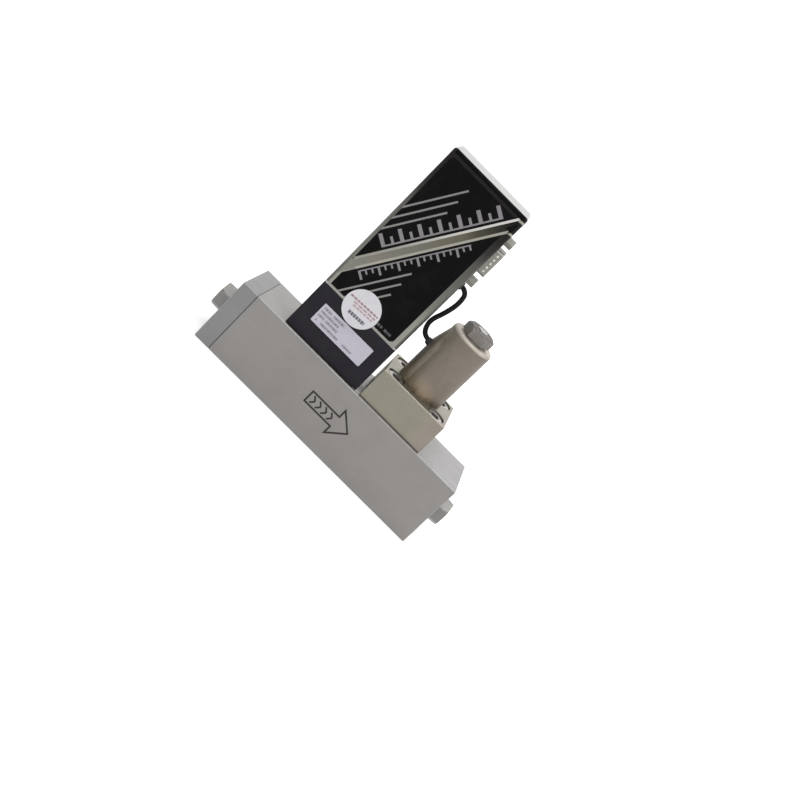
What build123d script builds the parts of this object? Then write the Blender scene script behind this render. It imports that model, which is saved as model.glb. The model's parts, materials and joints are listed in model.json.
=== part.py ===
from build123d import *
import os
from math import cos, pi, radians, sin, tan

os.makedirs("parts", exist_ok=True)

# Mass flow controller: a stainless flow body with a thermal sensor tower and a solenoid valve.
# Frame: X along the flow (inlet at -X), Y is depth (front at -Y), Z up, millimetres.
# The origin is the centre of the body's bottom face.

# ---- Flow body -------------------------------------------------------------------------------
BODY_LENGTH = 139.7          # block and end cap together
BODY_DEPTH = 38.1
BODY_HEIGHT = 36.2
CAP_THICKNESS = 9.2
EDGE_BREAK = 0.35            # machined edge break, which also shows as the split line
FLOW_Z = 17.3                # height of the inlet and outlet axis
MOUNT_SPACING_X = 88.9
MOUNT_SPACING_Y = 25.4
MOUNT_HOLE_R = 2.1
MOUNT_HOLE_DEPTH = 8.0
FIT = 0.05                   # radial clearance of turned pieces in their bores
SCREW_PLAY = 0.15            # radial clearance of a screw in the piece that it clamps
HEAD_BEVEL_SHARE = 0.08      # of a socket screw's head radius
SOCKET_SHARE = 0.55          # of a socket screw's head height
TIP_BEVEL_SHARE = 0.2        # of a shank's radius
PAN_HEIGHT_SHARE = 0.6       # of a pan head's radius
PAN_ROUND_SHARE = 0.5        # of a pan head's height
SLOT_DEPTH_SHARE = 0.45      # of a pan head's height
SLOT_WIDTH_SHARE = 0.25      # of a pan head's radius
BLIND_RUN = 2.0              # how far a tapped hole runs past its screw

# ---- Seals -----------------------------------------------------------------------------------
SEAL_WIDTH = 2.0
SEAL_HEIGHT = 1.3
SEAL_CORNER_R = 0.45
GROOVE_SIDE_PLAY = 0.15
GROOVE_HALF = SEAL_WIDTH / 2 + GROOVE_SIDE_PLAY
SEAL_WEB = 0.5               # metal left between a groove and what it surrounds

# ---- Bypass ----------------------------------------------------------------------------------
BYPASS_R = 9.5
BYPASS_STEP = 2.0            # shoulder that the element rests on
BYPASS_STEP_R = BYPASS_R - BYPASS_STEP
TAP_TO_ELEMENT = 3.0         # from the sensor taps to the element's ends
ELEMENT_SLOTS = 20
ELEMENT_SLOT_WIDTH = 0.7
ELEMENT_SLOT_DEPTH = 3.0
ELEMENT_RECESS_R = 2.1
ELEMENT_RECESS_DEPTH = 5.6
RING_THICKNESS = 1.0
RING_BITE = 0.6              # depth of the ring's groove in the bore
RING_GROOVE_R = BYPASS_R + RING_BITE
RING_WIDTH = 1.9
RING_INNER_R = RING_GROOVE_R - 2 * FIT - RING_WIDTH
RING_EAR_R = 1.7
RING_EAR_HOLE_R = 0.6
RING_EAR_DEG = 8.0           # from the gap's edge to an ear's middle
RING_GAP_DEG = 50.0
PASSAGE_R = 2.2
OUTLET_BORE_R = 3.0

# ---- End cap fasteners and seal --------------------------------------------------------------
CAP_SCREW_EDGE_Y = 5.45      # screw axes in from the cap's front and back
CAP_SCREW_EDGE_LOW = 4.9     # screw axes up from the cap's bottom
CAP_SCREW_EDGE_HIGH = 6.5    # screw axes down from the cap's top
CAP_SCREW_LENGTH = 14.0
CAP_SCREW_R = 2.05
CAP_SCREW_HEAD_R = 3.4
CAP_SCREW_HEAD_H = 4.1
CAP_SCREW_HEX = 3.6
CAP_SCREW_HEAD_PLAY = 0.4
CAP_SCREW_SINK = 0.5         # the heads lie this far below the cap's face
CAP_SEAL_R = BYPASS_R + SEAL_WEB + GROOVE_HALF

# ---- Port fittings ---------------------------------------------------------------------------
HEX_ACROSS_FLATS = 12.7
HEX_LENGTH = 7.0
HEX_BEVEL_LENGTH = 2.8       # of the turned bevel at the hexagon's end
HEX_BEVEL_DEPTH = 0.6        # taken off the corners at the end
PORT_R = 4.2
PORT_DEPTH = 9.0
PORT_BEVEL = 0.4
SHANK_WALL = 0.56            # round the port where it reaches into the shank
SHANK_R = PORT_R + SHANK_WALL
SHANK_LENGTH = 6.0
SHANK_RUN = 1.0              # how far the outlet socket runs past the shank
PORT_PASSAGE_R = 2.2
PORT_SEAL_WIDTH = 1.14
PORT_SEAL_OUTER_R = SHANK_R + PORT_SEAL_WIDTH
PORT_SEAL_HEIGHT = 1.6
PORT_SEAL_CORNER_R = 0.35
SCREEN_THICKNESS = 1.2
SCREEN_LEDGE = 1.2           # shoulder that carries the screen's edge
SCREEN_HOLE_R = 0.55
SCREEN_RINGS = ((6, 1.5), (12, 2.8))   # number of holes and radius of each ring

# ---- Sensor tower ----------------------------------------------------------------------------
TOWER_X = -20.7              # centre of the tower along the flow
TOWER_WIDTH = 46.2
TOWER_DEPTH = 25.4
TOWER_SETBACK = 2.15         # the tower's front lies this far behind the body's front
SENSOR_COVER_HEIGHT = 27.3
SENSOR_WALL = 2.0
COVER_CORNER_R = 0.84
COVER_INNER_R = 0.42
SPIGOT_HEIGHT = 7.0
SPIGOT_WALL = 1.6
SPIGOT_CORNER_R = 0.7
CAN_HEIGHT = 86.9
CAN_WALL = 1.2
CAN_CORNER_R = 1.4
CAN_TOP_R = 1.5

SENSOR_BLOCK_END_AIR = 1.6   # between the sensor block's ends and its cover
SENSOR_BLOCK_SIDE_AIR = 2.2  # between the sensor block's long sides and its cover
SENSOR_BLOCK_LENGTH = TOWER_WIDTH - 2 * (SENSOR_WALL + SENSOR_BLOCK_END_AIR)
SENSOR_BLOCK_DEPTH = TOWER_DEPTH - 2 * (SENSOR_WALL + SENSOR_BLOCK_SIDE_AIR)
SENSOR_BLOCK_HEIGHT = 6.0
SENSOR_BLOCK_CORNER = 1.0
SENSOR_SCREW_R = 1.5
SENSOR_SCREW_HEAD_R = 2.75
SENSOR_SCREW_HEAD_H = 3.0
SENSOR_SCREW_HEX = 2.5
SENSOR_SCREW_LENGTH = 13.0
SENSOR_SCREW_EDGE = 0.4      # from the screw heads to the block's ends
SENSOR_SCREW_REACH = SENSOR_BLOCK_LENGTH / 2 - SENSOR_SCREW_HEAD_R - SENSOR_SCREW_EDGE
SENSOR_TAP_R = 1.5
SENSOR_SEAL_R = SENSOR_TAP_R + SEAL_WIDTH / 2 + SEAL_WEB
TAP_TO_SCREW = SENSOR_SEAL_R + GROOVE_HALF + SEAL_WEB + SCREW_PLAY + SENSOR_SCREW_R
SENSOR_TAP_SPACING = 2 * (SENSOR_SCREW_REACH - TAP_TO_SCREW)
SENSOR_TUBE_R = 0.7
SENSOR_TUBE_BORE_R = 0.4
SENSOR_TUBE_RISE = 12.0
SENSOR_TUBE_BEND = 3.0
WINDING_R = 1.6
WINDING_GAP = 1.4
WINDING_TO_BEND = 1.7
WINDING_LENGTH = SENSOR_TAP_SPACING / 2 - SENSOR_TUBE_BEND - WINDING_TO_BEND - WINDING_GAP / 2
ELEMENT_LENGTH = SENSOR_TAP_SPACING - 2 * TAP_TO_ELEMENT

# ---- Electronics -----------------------------------------------------------------------------
BRACKET_SHEET = 1.2
BRACKET_WIDTH = 20.0
BRACKET_OVER_SCREW = 4.8     # bracket above its upper screws
FOOT_TO_TUBE = 2.6           # from the bracket's foot to the sensor tube
BOARD_SIDE_AIR = 1.25        # between the board and the cover's spigot
BOARD_BOTTOM_AIR = 5.0       # above the bottom of the can
BOARD_TOP_AIR = 2.7          # below the can's top
BOARD_WIDTH = TOWER_WIDTH - 2 * (CAN_WALL + FIT + SPIGOT_WALL + BOARD_SIDE_AIR)
BOARD_HEIGHT = CAN_HEIGHT - CAN_WALL - BOARD_BOTTOM_AIR - BOARD_TOP_AIR
BOARD_THICKNESS = 1.6
BOARD_CORNER_R = 1.5
BOARD_SCREW_R = 1.2
BOARD_SCREW_HEAD_R = 2.2
BOARD_SCREW_SPACING_X = 13.3
BOARD_SCREW_SPACING_Z = 14.0
BOARD_SCREW_TIP = 1.0        # screw length behind the bracket
CONNECTOR_NOTCH_AIR = 1.5    # between the board's notch and the connector's flange
CONNECTOR_NOTCH_DEPTH = 4.0  # notch behind the connector's insulator
CHIP_LENGTH = 19.3
CHIP_WIDTH = 6.6
CHIP_HEIGHT = 3.4
CHIP_STANDOFF = 0.5
CHIP_BEVEL = 0.4
CHIP_LEGS = 7                # in each row
CHIP_LEG_PITCH = 2.54
CHIP_LEG = 0.9
CHIP_LEG_OUT = 0.3           # leg's middle beyond the chip's side
CHIP_LEG_HEIGHT = 2.04
CHIP_SHIFT_X = -6.0          # chips, from the tower's middle
CHIP_RISES = (-7.0, 12.0, 25.0)   # chips, from the board's middle
CAPACITOR_R = 4.0
CAPACITOR_HEIGHT = 8.5
CAPACITOR_TOP_R = 0.6
CAPACITOR_SHIFTS = (-9.0, 3.0)    # capacitors, from the tower's middle
CAPACITOR_EDGE = 3.0         # above the board's bottom edge
COVER_SCREW_R = 1.4
COVER_SCREW_HEAD_R = 2.6
COVER_SCREW_SPACING = 33.0

# ---- Nine-way connector on the tower's outlet side ---------------------------------------------
CONNECTOR_RISE = 59.3        # above the can's bottom
JACK_SPACING = 24.99
FLANGE_END = 2.905           # flange beyond the posts' axes
FLANGE_LENGTH = JACK_SPACING + 2 * FLANGE_END
FLANGE_WIDTH = 12.5
FLANGE_THICKNESS = 1.0
FLANGE_CORNER_R = 1.5
JACK_HEX = 4.75
JACK_TURN_DEG = 30.0          # puts a corner of each hexagon to the front and the back
JACK_LENGTH = 4.0
JACK_STUD_R = 1.4
JACK_STUD_TIP = 3.0          # stud behind the flange
JACK_THREAD_DEPTH = 3.2
JACK_NUT_HEIGHT = 2.0
SHELL_LENGTH = 16.9
SHELL_WIDTH = 8.3
SHELL_REACH = 4.3            # beyond the can's side
SHELL_WALL = 0.5
SHELL_SLOPE_DEG = 10.0
SHELL_CORNER_R = 2.2
INSULATOR_DEPTH = 5.0
INSULATOR_GROWTH = 1.0       # the rear half is this much larger all round
PIN_R = 0.5
PIN_REACH = 3.4
PIN_TAIL = 1.5               # behind the insulator
PIN_PITCH = 2.77
PIN_ROW_GAP = 2.84

# ---- Labels ------------------------------------------------------------------------------------
LABEL_THICKNESS = 0.15
LABEL_CORNER_R = 1.0
LABEL_EDGE = 0.1             # between the can's rounded edges and the label
PLATE_LENGTH = 31.4
PLATE_HEIGHT = 10.8
PLATE_THICKNESS = 0.4
PLATE_CORNER_R = 0.5
PLATE_SHIFT_X = 0.35         # from the tower's middle
PLATE_RISE = 14.8            # above the flow body
STICKER_R = 9.5
STICKER_THICKNESS = 0.12
STICKER_SHIFT_X = -1.6       # from the tower's middle
STICKER_RISE = 2.9           # above the can's bottom

# ---- Valve block -------------------------------------------------------------------------------
TOWER_TO_BLOCK = 2.6
VALVE_AXIS_SHIFT = 0.7       # valve axis downstream of the block's middle
BLOCK_LENGTH = 39.2
BLOCK_DEPTH = 34.4
BLOCK_HEIGHT = 17.9
BLOCK_SCREW_X = 12.95
BLOCK_SCREW_Y = 11.5
BLOCK_SCREW_R = 3.175
BLOCK_SCREW_HEAD_R = 4.75
BLOCK_SCREW_HEAD_H = 6.35
BLOCK_SCREW_HEX = 4.76
BLOCK_SCREW_SINK = 0.7       # the head lies this far below the block's top
BLOCK_SCREW_BITE = 9.0       # thread length in the body
BLOCK_SCREW_HEAD_PLAY = 0.35
COUNTERBORE_R = BLOCK_SCREW_HEAD_R + BLOCK_SCREW_HEAD_PLAY
CHAMBER_FLOOR = 5.0          # above the body's top
CROSS_PASSAGE_R = 1.5
CROSS_PASSAGE_RISE = 0.5     # passage above the chamber's floor
SEAT_STEM_WALL = 0.8
SEAT_STEM_R = PASSAGE_R + SEAT_STEM_WALL
SEAT_SEAL_R = SEAT_STEM_R + SEAL_WEB + GROOVE_HALF
PORT_SEAL_WEB = 0.2
PORT_SEAL_R = PASSAGE_R + PORT_SEAL_WEB + GROOVE_HALF
INLET_PORT_OFFSET = SEAT_SEAL_R + PORT_SEAL_R + 2 * GROOVE_HALF + SEAL_WEB
SEAT_FLANGE_R = 5.0
CHAMBER_AIR = 1.2            # round the seat's flange
CHAMBER_R = SEAT_FLANGE_R + CHAMBER_AIR
SEAT_FLANGE_H = 1.4
SEAT_LIP_H = 0.8
SEAT_LIP_R = 1.7
SEAT_LIP_FOOT_R = 2.55
ORIFICE_R = 0.7

# ---- Valve -------------------------------------------------------------------------------------
TUBE_SEAL_R = CHAMBER_R + SEAL_WIDTH / 2 - GROOVE_SIDE_PLAY
TUBE_FLANGE_LAND = 0.2       # flange beyond the seal's recess
TUBE_FLANGE_R = TUBE_SEAL_R + GROOVE_HALF + TUBE_FLANGE_LAND
TUBE_FLANGE_H = 2.4
GUIDE_TUBE_R = 5.3
GUIDE_TUBE_WALL = 0.5
PLUNGER_PLAY = 0.06          # radial running clearance
PLUNGER_BEVEL = 0.4
PLUNGER_FLAT_DEPTH = 0.57    # cut from each side for the gas to pass
PLUNGER_STROKE = 0.8
STROKE_MARGIN = 0.1          # air left at full lift
CORE_DEPTH = 17.0            # core face below the top of the coil housing
PAD_R = 2.6
PAD_THICKNESS = 1.5
PAD_PROUD = 0.45             # pad below the plunger's face
SPRING_R = 2.0
SPRING_WIRE_R = 0.3
SPRING_POCKET_R = 2.5
SPRING_POCKET_DEPTH = 8.0
SPRING_TURNS = 6
COIL_RADIUS = 11.8
COIL_HEIGHT = 36.3
COIL_WALL = 1.2
COIL_TOP_R = 1.6
COIL_BASE_THICKNESS = 2.0
BOSS_REACH = 2.3             # swelling on the lead's side, beyond the cup
BOSS_R = 8.0
BOSS_TAPER = 12.0            # height over which the swelling runs into the cup's top
BOSS_SINK = 0.5              # the swelling's top ends this far inside the cup
BOBBIN_WALL = 0.8
BOBBIN_AIR = 0.7             # between the bobbin and the cup
BOBBIN_FLANGE_R = COIL_RADIUS - COIL_WALL - BOBBIN_AIR
BOBBIN_FLANGE_H = 1.2
WIRE_TO_FLANGE_EDGE = 0.7
WIRE_STACK_R = BOBBIN_FLANGE_R - WIRE_TO_FLANGE_EDGE
STUD_R = 3.0
STUD_RISE = 0.5              # stud end above the nut
COIL_NUT_FLATS = 14.3
COIL_NUT_HEIGHT = 5.0
COIL_NUT_TOP_R = 6.8         # of the flat ring on top, inside the nut's bevel
COIL_NUT_BEVEL_DEG = 35.0
WASHER_R = 6.6
WASHER_THICKNESS = 0.7

# ---- Valve lead --------------------------------------------------------------------------------
LEAD_R = 1.25
LEAD_PLAY = 0.05
COVER_BUSH_TO_JACK = 5.105   # bush below the connector's lower post
COVER_BUSH_FLANGE_R = 2.2
COVER_BUSH_NECK_R = 1.8
COVER_BUSH_FLANGE_H = 1.0
COVER_BUSH_TOP_R = 0.4
COIL_BUSH_RISE = 19.9        # above the valve block
COIL_BUSH_R = 2.2
COIL_BUSH_TIP_R = 1.7
COIL_BUSH_NECK_R = 1.8
COIL_BUSH_LENGTH = 1.8
COIL_BUSH_INSIDE = 0.4       # neck beyond the wall
LEAD_ARC_SHARE = 0.45        # share of the shorter run that an arc uses

# ---- Places worked out from the driving dimensions ---------------------------------------------
X_LEFT = -BODY_LENGTH / 2
X_RIGHT = BODY_LENGTH / 2
X_SPLIT = X_LEFT + CAP_THICKNESS
Y_FRONT = -BODY_DEPTH / 2
TOWER_FRONT = Y_FRONT + TOWER_SETBACK
TOWER_Y = TOWER_FRONT + TOWER_DEPTH / 2
TOWER_BACK = TOWER_FRONT + TOWER_DEPTH
TOWER_RIGHT = TOWER_X + TOWER_WIDTH / 2
COVER_TOP = BODY_HEIGHT + SENSOR_COVER_HEIGHT
CAN_TOP = COVER_TOP + CAN_HEIGHT
CONNECTOR_Z = COVER_TOP + CONNECTOR_RISE
COVER_BUSH_Z = CONNECTOR_Z - JACK_SPACING / 2 - COVER_BUSH_TO_JACK
TAP_X = (TOWER_X - SENSOR_TAP_SPACING / 2, TOWER_X + SENSOR_TAP_SPACING / 2)
ELEMENT_END = TOWER_X + ELEMENT_LENGTH / 2
ELEMENT_START = ELEMENT_END - ELEMENT_LENGTH
BLOCK_X = TOWER_RIGHT + TOWER_TO_BLOCK + BLOCK_LENGTH / 2
VALVE_X = BLOCK_X + VALVE_AXIS_SHIFT
INLET_PORT_X = VALVE_X - INLET_PORT_OFFSET
BLOCK_TOP = BODY_HEIGHT + BLOCK_HEIGHT
COIL_BUSH_Z = BLOCK_TOP + COIL_BUSH_RISE
COIL_TOP = BLOCK_TOP + COIL_HEIGHT
CORE_FACE = COIL_TOP - CORE_DEPTH
SEAT_TOP = BODY_HEIGHT + CHAMBER_FLOOR + SEAT_FLANGE_H + SEAT_LIP_H
PLUNGER_TOP = CORE_FACE - PLUNGER_STROKE - STROKE_MARGIN
PLUNGER_R = GUIDE_TUBE_R - GUIDE_TUBE_WALL - PLUNGER_PLAY
BOSS_LEFT = VALVE_X - COIL_RADIUS - BOSS_REACH
CAVITY_LEFT = VALVE_X - COIL_RADIUS + COIL_WALL
BRACKET_Y = TOWER_Y + SENSOR_BLOCK_DEPTH / 2 - BRACKET_SHEET / 2
BOARD_Y = BRACKET_Y - BRACKET_SHEET / 2 - BOARD_THICKNESS / 2
BOARD_FRONT = BOARD_Y - BOARD_THICKNESS / 2
BOARD_Z = COVER_TOP + BOARD_BOTTOM_AIR + BOARD_HEIGHT / 2
CAN_INSET = CAN_WALL + FIT
FLANGE_BACK = TOWER_RIGHT - CAN_WALL - FLANGE_THICKNESS

UP = (Align.CENTER, Align.CENTER, Align.MIN)
DOWN = (Align.CENTER, Align.CENTER, Align.MAX)
ALONG_X = Rot(0, 90, 0)
AGAINST_X = Rot(0, -90, 0)
BACKWARDS = Rot(-90, 0, 0)
FORWARDS = Rot(90, 0, 0)
THROUGH = 200.0              # longer than any piece, for cuts that go right through


def save(node, shape):
    """Write one node and pass its shape on."""
    shape.label = node
    export_step(shape, os.path.join("parts", node + ".step"))
    return shape


def group(shapes):
    """Several like pieces in one node."""
    return Compound(children=list(shapes))


def span(x0, x1, y0, y1, z0, z1):
    """A block between two corners."""
    place = Pos((x0 + x1) / 2, (y0 + y1) / 2, (z0 + z1) / 2)
    return place * Box(abs(x1 - x0), abs(y1 - y0), abs(z1 - z0))


def hexagon_bar(across_flats, height, turn=0.0):
    """An upright hexagonal bar that stands on the XY plane."""
    outline = RegularPolygon(across_flats / 2, 6, major_radius=False, rotation=turn)
    return extrude(outline, height)


def seal_ring(mean_r):
    """A seal pressed flat into its groove, standing on the XY plane."""
    section = RectangleRounded(SEAL_WIDTH, SEAL_HEIGHT, SEAL_CORNER_R)
    return revolve(Plane.XZ * Pos(mean_r, SEAL_HEIGHT / 2) * section, Axis.Z)


def seal_groove(mean_r):
    """The groove for a seal ring, standing on the XY plane."""
    outer = Cylinder(mean_r + GROOVE_HALF, SEAL_HEIGHT, align=UP)
    return outer - Cylinder(mean_r - GROOVE_HALF, SEAL_HEIGHT, align=UP)


def socket_screw(shank_r, length, head_r, head_h, hex_flats):
    """A socket head cap screw whose head stands on the XY plane, shank downwards."""
    head = Cylinder(head_r, head_h, align=UP)
    head = chamfer(head.edges().group_by(Axis.Z)[-1], head_r * HEAD_BEVEL_SHARE)
    head -= Pos(0, 0, head_h * (1 - SOCKET_SHARE)) * hexagon_bar(hex_flats, head_h)
    shank = Cylinder(shank_r, length, align=DOWN)
    shank = chamfer(shank.edges().group_by(Axis.Z)[0], shank_r * TIP_BEVEL_SHARE)
    return head + shank


def pan_screw(shank_r, length, head_r):
    """A slotted pan head screw whose head stands on the XY plane, shank downwards."""
    head_h = head_r * PAN_HEIGHT_SHARE
    head = Cylinder(head_r, head_h, align=UP)
    head = fillet(head.edges().group_by(Axis.Z)[-1], head_h * PAN_ROUND_SHARE)
    slot = Box(THROUGH, head_r * SLOT_WIDTH_SHARE, head_h, align=UP)
    head -= Pos(0, 0, head_h * (1 - SLOT_DEPTH_SHARE)) * slot
    return head + Cylinder(shank_r, length, align=DOWN)


# ---- Flow body ---------------------------------------------------------------------------------
def cap_screw_places():
    for y in (Y_FRONT + CAP_SCREW_EDGE_Y, -Y_FRONT - CAP_SCREW_EDGE_Y):
        for z in (CAP_SCREW_EDGE_LOW, BODY_HEIGHT - CAP_SCREW_EDGE_HIGH):
            yield y, z


def block_screw_places():
    for x in (BLOCK_X - BLOCK_SCREW_X, BLOCK_X + BLOCK_SCREW_X):
        for y in (-BLOCK_SCREW_Y, BLOCK_SCREW_Y):
            yield x, y


def sensor_screw_places():
    for x in (TOWER_X - SENSOR_SCREW_REACH, TOWER_X + SENSOR_SCREW_REACH):
        yield x, TOWER_Y


def base_block():
    body = span(X_SPLIT, X_RIGHT, Y_FRONT, -Y_FRONT, 0, BODY_HEIGHT)
    body = chamfer(body.edges(), EDGE_BREAK)
    axis = Pos(X_SPLIT, 0, FLOW_Z) * ALONG_X
    body -= axis * Cylinder(BYPASS_R, ELEMENT_END - X_SPLIT, align=UP)
    body -= axis * Cylinder(BYPASS_STEP_R, INLET_PORT_X + PASSAGE_R - X_SPLIT, align=UP)
    groove = Pos(ELEMENT_START - RING_THICKNESS, 0, FLOW_Z) * ALONG_X
    body -= groove * Cylinder(RING_GROOVE_R, RING_THICKNESS, align=UP)
    body -= axis * seal_groove(CAP_SEAL_R)
    for y, z in cap_screw_places():
        seat = CAP_SCREW_HEAD_H + CAP_SCREW_SINK
        depth = seat + CAP_SCREW_LENGTH - CAP_THICKNESS + BLIND_RUN
        body -= Pos(X_SPLIT, y, z) * ALONG_X * Cylinder(CAP_SCREW_R + FIT, depth, align=UP)
    for x in TAP_X:
        body -= Pos(x, TOWER_Y, FLOW_Z) * Cylinder(SENSOR_TAP_R, BODY_HEIGHT, align=UP)
    for x, y in sensor_screw_places():
        depth = SENSOR_SCREW_LENGTH - SENSOR_BLOCK_HEIGHT + BLIND_RUN
        body -= Pos(x, y, BODY_HEIGHT) * Cylinder(SENSOR_SCREW_R + FIT, depth, align=DOWN)
    body -= Pos(INLET_PORT_X, 0, FLOW_Z) * Cylinder(PASSAGE_R, BODY_HEIGHT, align=UP)
    body -= Pos(VALVE_X, 0, FLOW_Z) * Cylinder(PASSAGE_R, BODY_HEIGHT, align=UP)
    outlet = Pos(VALVE_X, 0, FLOW_Z) * ALONG_X
    body -= outlet * Cylinder(OUTLET_BORE_R, BODY_LENGTH, align=UP)
    body -= fitting_socket(X_RIGHT, SHANK_LENGTH + SHANK_RUN, AGAINST_X)
    for x, y in block_screw_places():
        hole = Cylinder(BLOCK_SCREW_R + FIT, BLOCK_SCREW_BITE + BLIND_RUN, align=DOWN)
        body -= Pos(x, y, BODY_HEIGHT) * hole
    for x in (-MOUNT_SPACING_X / 2, MOUNT_SPACING_X / 2):
        for y in (-MOUNT_SPACING_Y / 2, MOUNT_SPACING_Y / 2):
            body -= Pos(x, y, 0) * Cylinder(MOUNT_HOLE_R, MOUNT_HOLE_DEPTH, align=UP)
    return body


def fitting_socket(x_face, depth, inwards):
    """The threaded port for a hex fitting, with its seal recess."""
    hole = Cylinder(SHANK_R + FIT, depth, align=UP)
    recess = Cylinder(PORT_SEAL_OUTER_R, PORT_SEAL_HEIGHT, align=UP)
    return Pos(x_face, 0, FLOW_Z) * inwards * (hole + recess)


def inlet_end_cap():
    cap = span(X_LEFT, X_SPLIT, Y_FRONT, -Y_FRONT, 0, BODY_HEIGHT)
    cap = chamfer(cap.edges(), EDGE_BREAK)
    cap -= fitting_socket(X_LEFT, SHANK_LENGTH + SCREEN_THICKNESS, ALONG_X)
    passage = Cylinder(SHANK_R - SCREEN_LEDGE, CAP_THICKNESS, align=UP)
    cap -= Pos(X_LEFT, 0, FLOW_Z) * ALONG_X * passage
    for y, z in cap_screw_places():
        place = Pos(X_LEFT, y, z) * ALONG_X
        seat = CAP_SCREW_HEAD_H + CAP_SCREW_SINK
        cap -= place * Cylinder(CAP_SCREW_HEAD_R + CAP_SCREW_HEAD_PLAY, seat, align=UP)
        cap -= place * Cylinder(CAP_SCREW_R + SCREW_PLAY, CAP_THICKNESS, align=UP)
    return cap


def end_cap_screws():
    seat_x = X_LEFT + CAP_SCREW_HEAD_H + CAP_SCREW_SINK
    length = CAP_SCREW_LENGTH
    screw = socket_screw(CAP_SCREW_R, length, CAP_SCREW_HEAD_R, CAP_SCREW_HEAD_H, CAP_SCREW_HEX)
    return group(Pos(seat_x, y, z) * AGAINST_X * screw for y, z in cap_screw_places())


def hex_fitting():
    """A hex port fitting: the hexagon stands on the XY plane and its shank points down."""
    body = hexagon_bar(HEX_ACROSS_FLATS, HEX_LENGTH)
    corner_r = HEX_ACROSS_FLATS / 2 / cos(pi / 6)
    turned = Cylinder(corner_r, HEX_LENGTH - HEX_BEVEL_LENGTH, align=UP)
    bevel = Cone(corner_r, corner_r - HEX_BEVEL_DEPTH, HEX_BEVEL_LENGTH, align=UP)
    body &= turned + Pos(0, 0, HEX_LENGTH - HEX_BEVEL_LENGTH) * bevel
    shank = Cylinder(SHANK_R, SHANK_LENGTH, align=DOWN)
    shank = chamfer(shank.edges().group_by(Axis.Z)[0], PORT_BEVEL)
    body += shank
    body -= Pos(0, 0, HEX_LENGTH) * Cylinder(PORT_R, PORT_DEPTH, align=DOWN)
    body -= Cylinder(PORT_PASSAGE_R, THROUGH)
    rim = body.edges().group_by(Axis.Z)[-1].filter_by(GeomType.CIRCLE)
    return chamfer(rim.sort_by(SortBy.RADIUS)[0], PORT_BEVEL)


def fitting_seal():
    """The ring between a fitting's shank and its recess, standing on the XY plane."""
    inner = SHANK_R + 2 * FIT
    width = PORT_SEAL_OUTER_R - FIT - inner
    section = RectangleRounded(width, PORT_SEAL_HEIGHT, PORT_SEAL_CORNER_R)
    middle = (PORT_SEAL_OUTER_R - FIT + inner) / 2
    return revolve(Plane.XZ * Pos(middle, PORT_SEAL_HEIGHT / 2) * section, Axis.Z)


def inlet_screen():
    """A perforated disc that the inlet fitting presses on the end cap's shoulder."""
    disc = Cylinder(SHANK_R - FIT, SCREEN_THICKNESS, align=UP)
    disc -= Cylinder(SCREEN_HOLE_R, SCREEN_THICKNESS, align=UP)
    for count, radius in SCREEN_RINGS:
        holes = PolarLocations(radius, count)
        disc -= holes * Cylinder(SCREEN_HOLE_R, SCREEN_THICKNESS, align=UP)
    return Pos(X_LEFT + SHANK_LENGTH, 0, FLOW_Z) * ALONG_X * disc


# ---- Bypass ------------------------------------------------------------------------------------
def laminar_flow_element():
    """A fluted plug that splits the stream into narrow parallel channels."""
    plug = Cylinder(BYPASS_R - FIT, ELEMENT_LENGTH, align=UP)
    middle = BYPASS_R - ELEMENT_SLOT_DEPTH / 2
    slot = Box(ELEMENT_SLOT_DEPTH, ELEMENT_SLOT_WIDTH, ELEMENT_LENGTH, align=UP)
    plug -= PolarLocations(middle, ELEMENT_SLOTS) * slot
    plug -= Cylinder(ELEMENT_RECESS_R, ELEMENT_RECESS_DEPTH, align=UP)
    return Pos(ELEMENT_START, 0, FLOW_Z) * ALONG_X * plug


def element_ring():
    """The internal retaining ring, open at the bottom, with two plier holes."""
    outer = RING_GROOVE_R - 2 * FIT
    ears = [PolarLocations(RING_INNER_R, 1, start_angle=-90 + side * (RING_GAP_DEG / 2 + RING_EAR_DEG))
            for side in (-1, 1)]
    ring = Circle(outer) - Circle(RING_INNER_R)
    for ear in ears:
        ring += ear * Circle(RING_EAR_R)
    half = radians(RING_GAP_DEG / 2)
    corner = (THROUGH * sin(half), -THROUGH * cos(half))
    ring -= make_face(Polyline((0, 0), corner, (-corner[0], corner[1]), close=True))
    ring &= Circle(outer)
    for ear in ears:
        ring -= ear * Circle(RING_EAR_HOLE_R)
    start = (ELEMENT_START - RING_THICKNESS + FIT, 0, FLOW_Z)
    across = Plane(origin=start, x_dir=(0, 1, 0), z_dir=(1, 0, 0))
    return across * extrude(ring, RING_THICKNESS - FIT)


# ---- Sensor ------------------------------------------------------------------------------------
def sensor_block():
    half = SENSOR_BLOCK_LENGTH / 2
    block = span(TOWER_X - half, TOWER_X + half,
                 TOWER_Y - SENSOR_BLOCK_DEPTH / 2, TOWER_Y + SENSOR_BLOCK_DEPTH / 2,
                 BODY_HEIGHT, BODY_HEIGHT + SENSOR_BLOCK_HEIGHT)
    block = chamfer(block.edges().filter_by(Axis.Z), SENSOR_BLOCK_CORNER)
    for x in TAP_X:
        port = Pos(x, TOWER_Y, BODY_HEIGHT)
        block -= port * Cylinder(SENSOR_TUBE_R + FIT, SENSOR_BLOCK_HEIGHT, align=UP)
        block -= port * seal_groove(SENSOR_SEAL_R)
    for x, y in sensor_screw_places():
        hole = Cylinder(SENSOR_SCREW_R + SCREW_PLAY, SENSOR_BLOCK_HEIGHT, align=UP)
        block -= Pos(x, y, BODY_HEIGHT) * hole
    return block


def sensor_tube_height():
    return BODY_HEIGHT + SENSOR_BLOCK_HEIGHT + SENSOR_TUBE_RISE


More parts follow.
